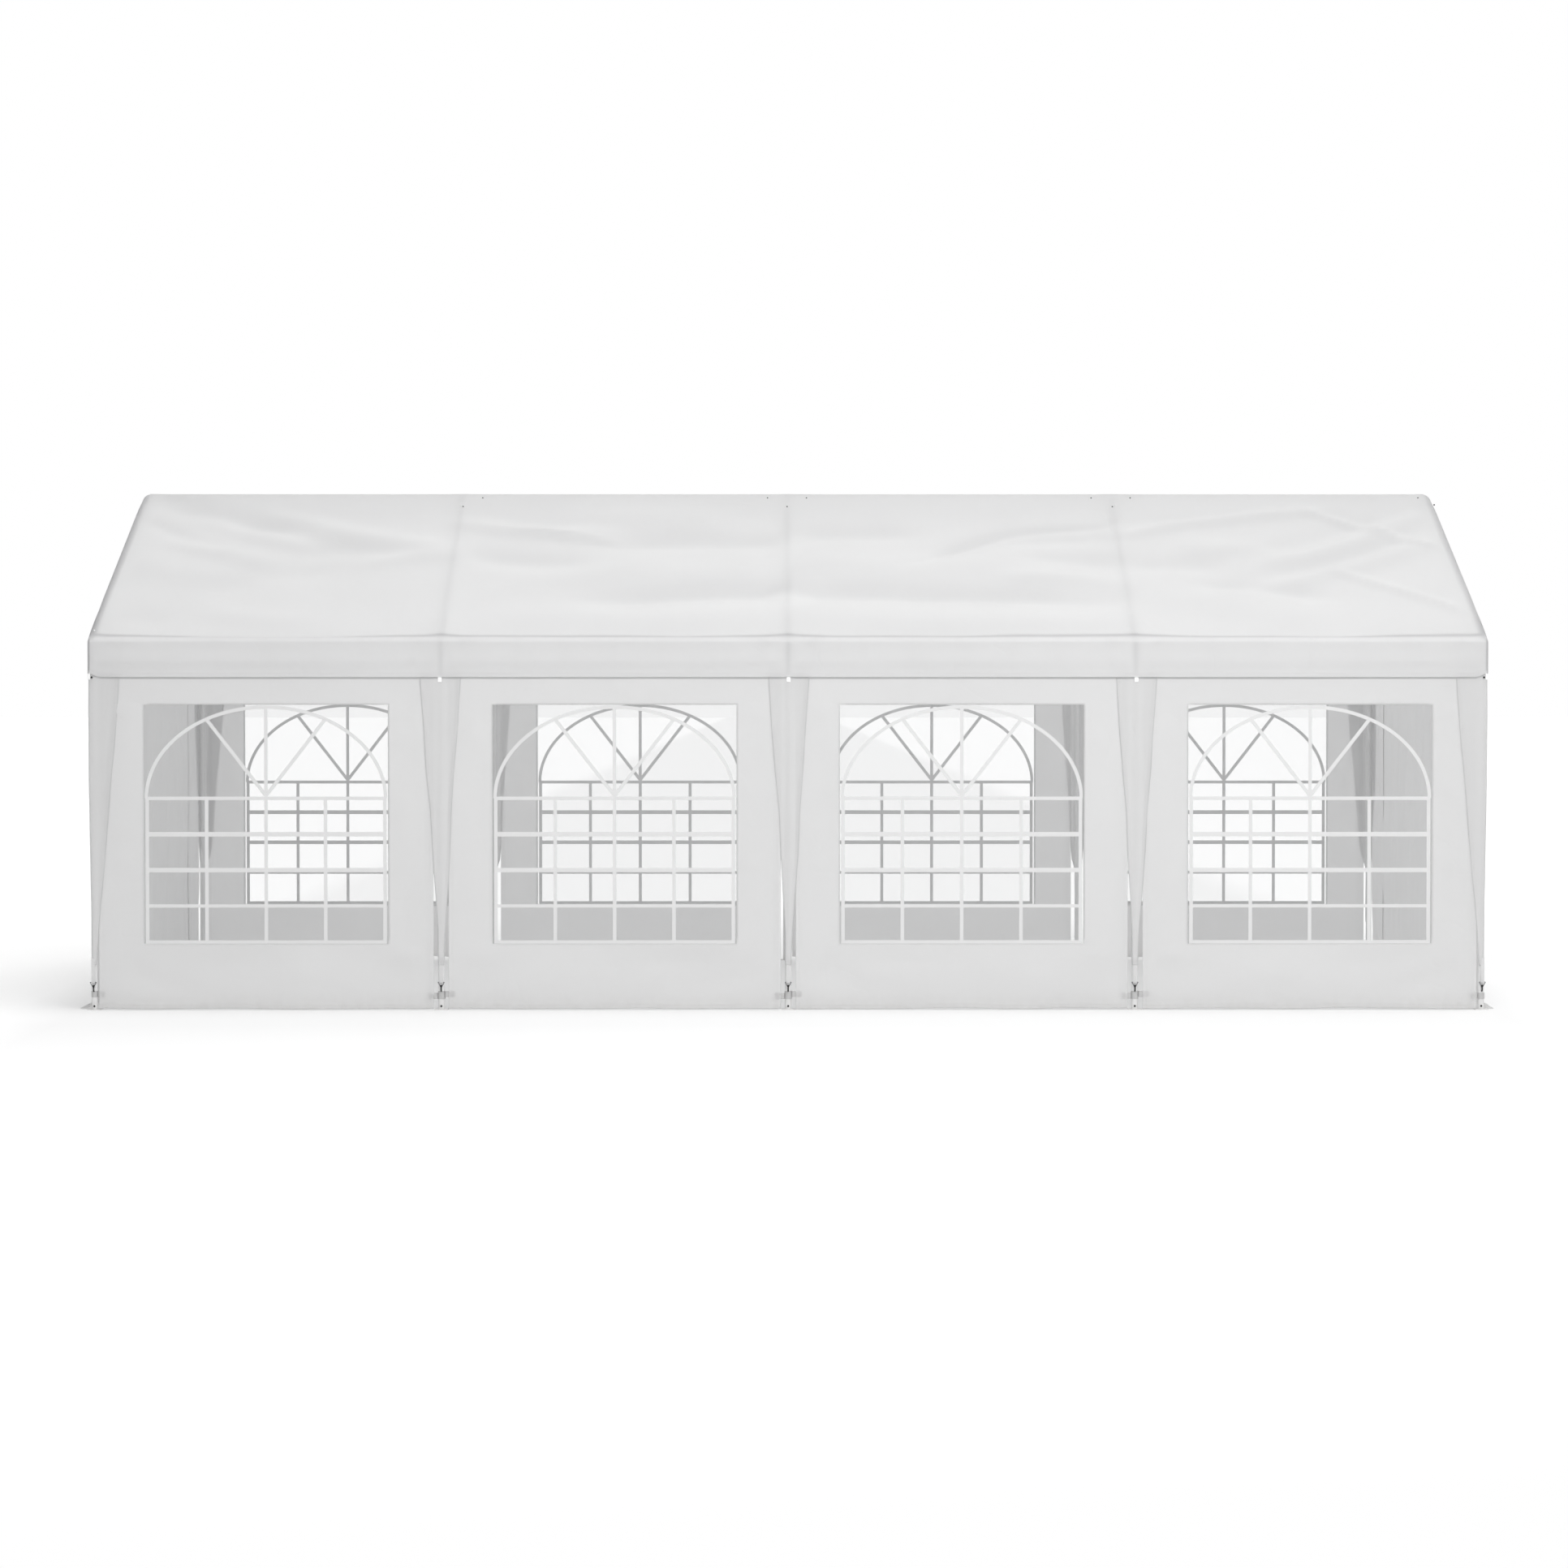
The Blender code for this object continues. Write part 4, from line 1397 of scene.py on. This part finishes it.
def panel_loops(side_name, side):
    """Thin elastic loops that carry each panel's upper edge on the eave tube."""
    bm = bmesh.new()
    radius = SLEEVE_RADIUS + 0.0022
    behind = WALL_OUT - CLOTH - 0.002
    turns = [radians(-20 + 24 * step) for step in range(10)]
    path = [(behind, PANEL_TOP - 0.03), (behind, PANEL_TOP + 0.03)]
    path += [(radius * cos(turn), EAVE_Z + radius * sin(turn)) for turn in turns]
    path += [(behind - 0.006, PANEL_TOP + 0.03), (behind - 0.0045, PANEL_TOP - 0.03)]
    for bay in range(BAYS):
        for shift in LOOP_SHIFTS:
            x = panel_span(bay)[2] + shift
            add_wire(bm, [(x, side * (HALF_WIDTH + out), z) for out, z in path], LOOP_WIRE)
    add_solid(f"panel_loops_{side_name}", bm, WHITE_WEBBING, "white_webbing", 60)


def valance_tabs(side_name, side):
    """Folded webbing tabs that show under the valance at each post."""
    bm = bmesh.new()
    for number, shift in TAB_SHIFTS.items():
        points = [at_post(side, number, shift, out, z) for out, z in MIDDLE_TAB]
        add_ribbon(bm, points, (1, 0, 0), 0.020, 0.0012)
    for number, end in ((0, -1), (BAYS, 1)):
        points = [at_post(side, number, end * out, out, z) for out, z in CORNER_TAB]
        add_ribbon(bm, points, (end, -side, 0), 0.022, 0.0012)
    add_solid(f"valance_tabs_{side_name}", bm, TAB_WEBBING, "white_webbing", 30)


def add_bolt(bm, place, axis):
    """A hexagon bolt through a connector, with a washer at its head, and its nut at the other end."""
    axis = Vector(axis).normalized()
    turn = Vector((0, 0, 1)).rotation_difference(axis).to_matrix().to_4x4()
    for sides, wide, high, shift in (
        (6, 1.8, 0.9, SLEEVE_RADIUS + 0.5 * BOLT_RADIUS),
        (14, 2.2, 0.3, SLEEVE_RADIUS - 0.1 * BOLT_RADIUS),
        (10, 1.0, 3 + 2 * SLEEVE_RADIUS / BOLT_RADIUS, 0.0),
        (6, 1.8, 1.3, -SLEEVE_RADIUS - 0.6 * BOLT_RADIUS),
    ):
        matrix = Matrix.Translation(Vector(place) + axis * shift) @ turn
        radius = wide * BOLT_RADIUS
        depth = high * BOLT_RADIUS
        bmesh.ops.create_cone(
            bm, cap_ends=True, segments=sides, radius1=radius, radius2=radius, depth=depth, matrix=matrix
        )


def frame_bolts():
    """The bolts through the arms of every connector."""
    bm = bmesh.new()
    for number in range(BAYS + 1):
        x = frame_x(number)
        ridge_x = rafter_x(0, number)
        for way in (-1, 1):
            if outermost(number, way):
                continue
            add_bolt(bm, (ridge_x + way * ARM_BOLT, 0, RIDGE_Z), (0, 1, 0))
            for _, side in SIDES:
                add_bolt(bm, (x + way * ARM_BOLT, side * HALF_WIDTH, EAVE_Z), (0, -side, 0.35))
        for _, side in SIDES:
            down = Vector((0, side * SLOPE_COS, -SLOPE_SIN)) * SLOPE_BOLT
            head = Vector((ridge_x, 0, RIDGE_Z)) + down
            foot = Vector((x, side * HALF_WIDTH, EAVE_Z)) - down
            for place in (head, foot, (x, side * HALF_WIDTH, EAVE_Z - POST_BOLT)):
                add_bolt(bm, place, (1, 0, 0))
    add_solid("frame_bolts", bm, ZINC, "zinc_wire", 30)


def add_tip(bm, x, distance, side, radius=BOLT_RADIUS):
    """A rounded bolt tip standing through the cover, this far down a slope."""
    y, z = on_slope(distance, SLOPE_OUT + slope_relief(x, distance, side) + 0.0005)
    add_knob(bm, (x, side * y, z), radius)


def bolt_tips():
    """Dark tips of the connectors' bolts beside each frame, and white caps near them."""
    dark, white = bmesh.new(), bmesh.new()
    for number in range(BAYS + 1):
        ridge_x = rafter_x(0.1, number)
        for _, side in SIDES:
            for way in (-1, 1):
                if (number, way) not in ((0, -1), (0, 1), (1, -1), (BAYS, 1)):
                    add_tip(dark, ridge_x + way * (0.035 if number == BAYS else ARM_BOLT), 0.058, side)
            if number in TIP_SHIFTS:
                dark_shift, white_shift = TIP_SHIFTS[number]
                add_tip(dark, rafter_x(0.207, number) + dark_shift, 0.207, side)
                add_tip(white, rafter_x(0.18, number) + white_shift, 0.180, side)
                continue
            if number == 0:
                add_tip(white, -4.010, SLOPE_LENGTH - 0.105, side, 0.0060)
            else:
                add_tip(dark, END_FACE + along(GABLE_SWELL, 0.18) - 0.010, 0.175, side, 0.0050)
            add_knob(dark, at_post(side, number, copysign(0.005, number - 1), 0.0350, 1.9165), 0.0060)
    add_solid("bolt_tips", dark, DARK_HOOK, "dark_hook", 60)
    add_solid("bolt_caps", white, WHITE_CAP, "white_steel", 60)


for side_name, side in SIDES:
    hold_downs(side_name, side)
    wall_ties(side_name, side)
    panel_loops(side_name, side)
    valance_tabs(side_name, side)
frame_bolts()
bolt_tips()

# The steel frame stays as the CAD has it, with its own finish
STEEL = ("post_front", "post_back", "rafter", "eave_beam", "end_beam", "ridge_beam")
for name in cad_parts:
    if name.startswith(STEEL):
        bpy.data.objects[name].material_slots[0].material = POWDER_COAT
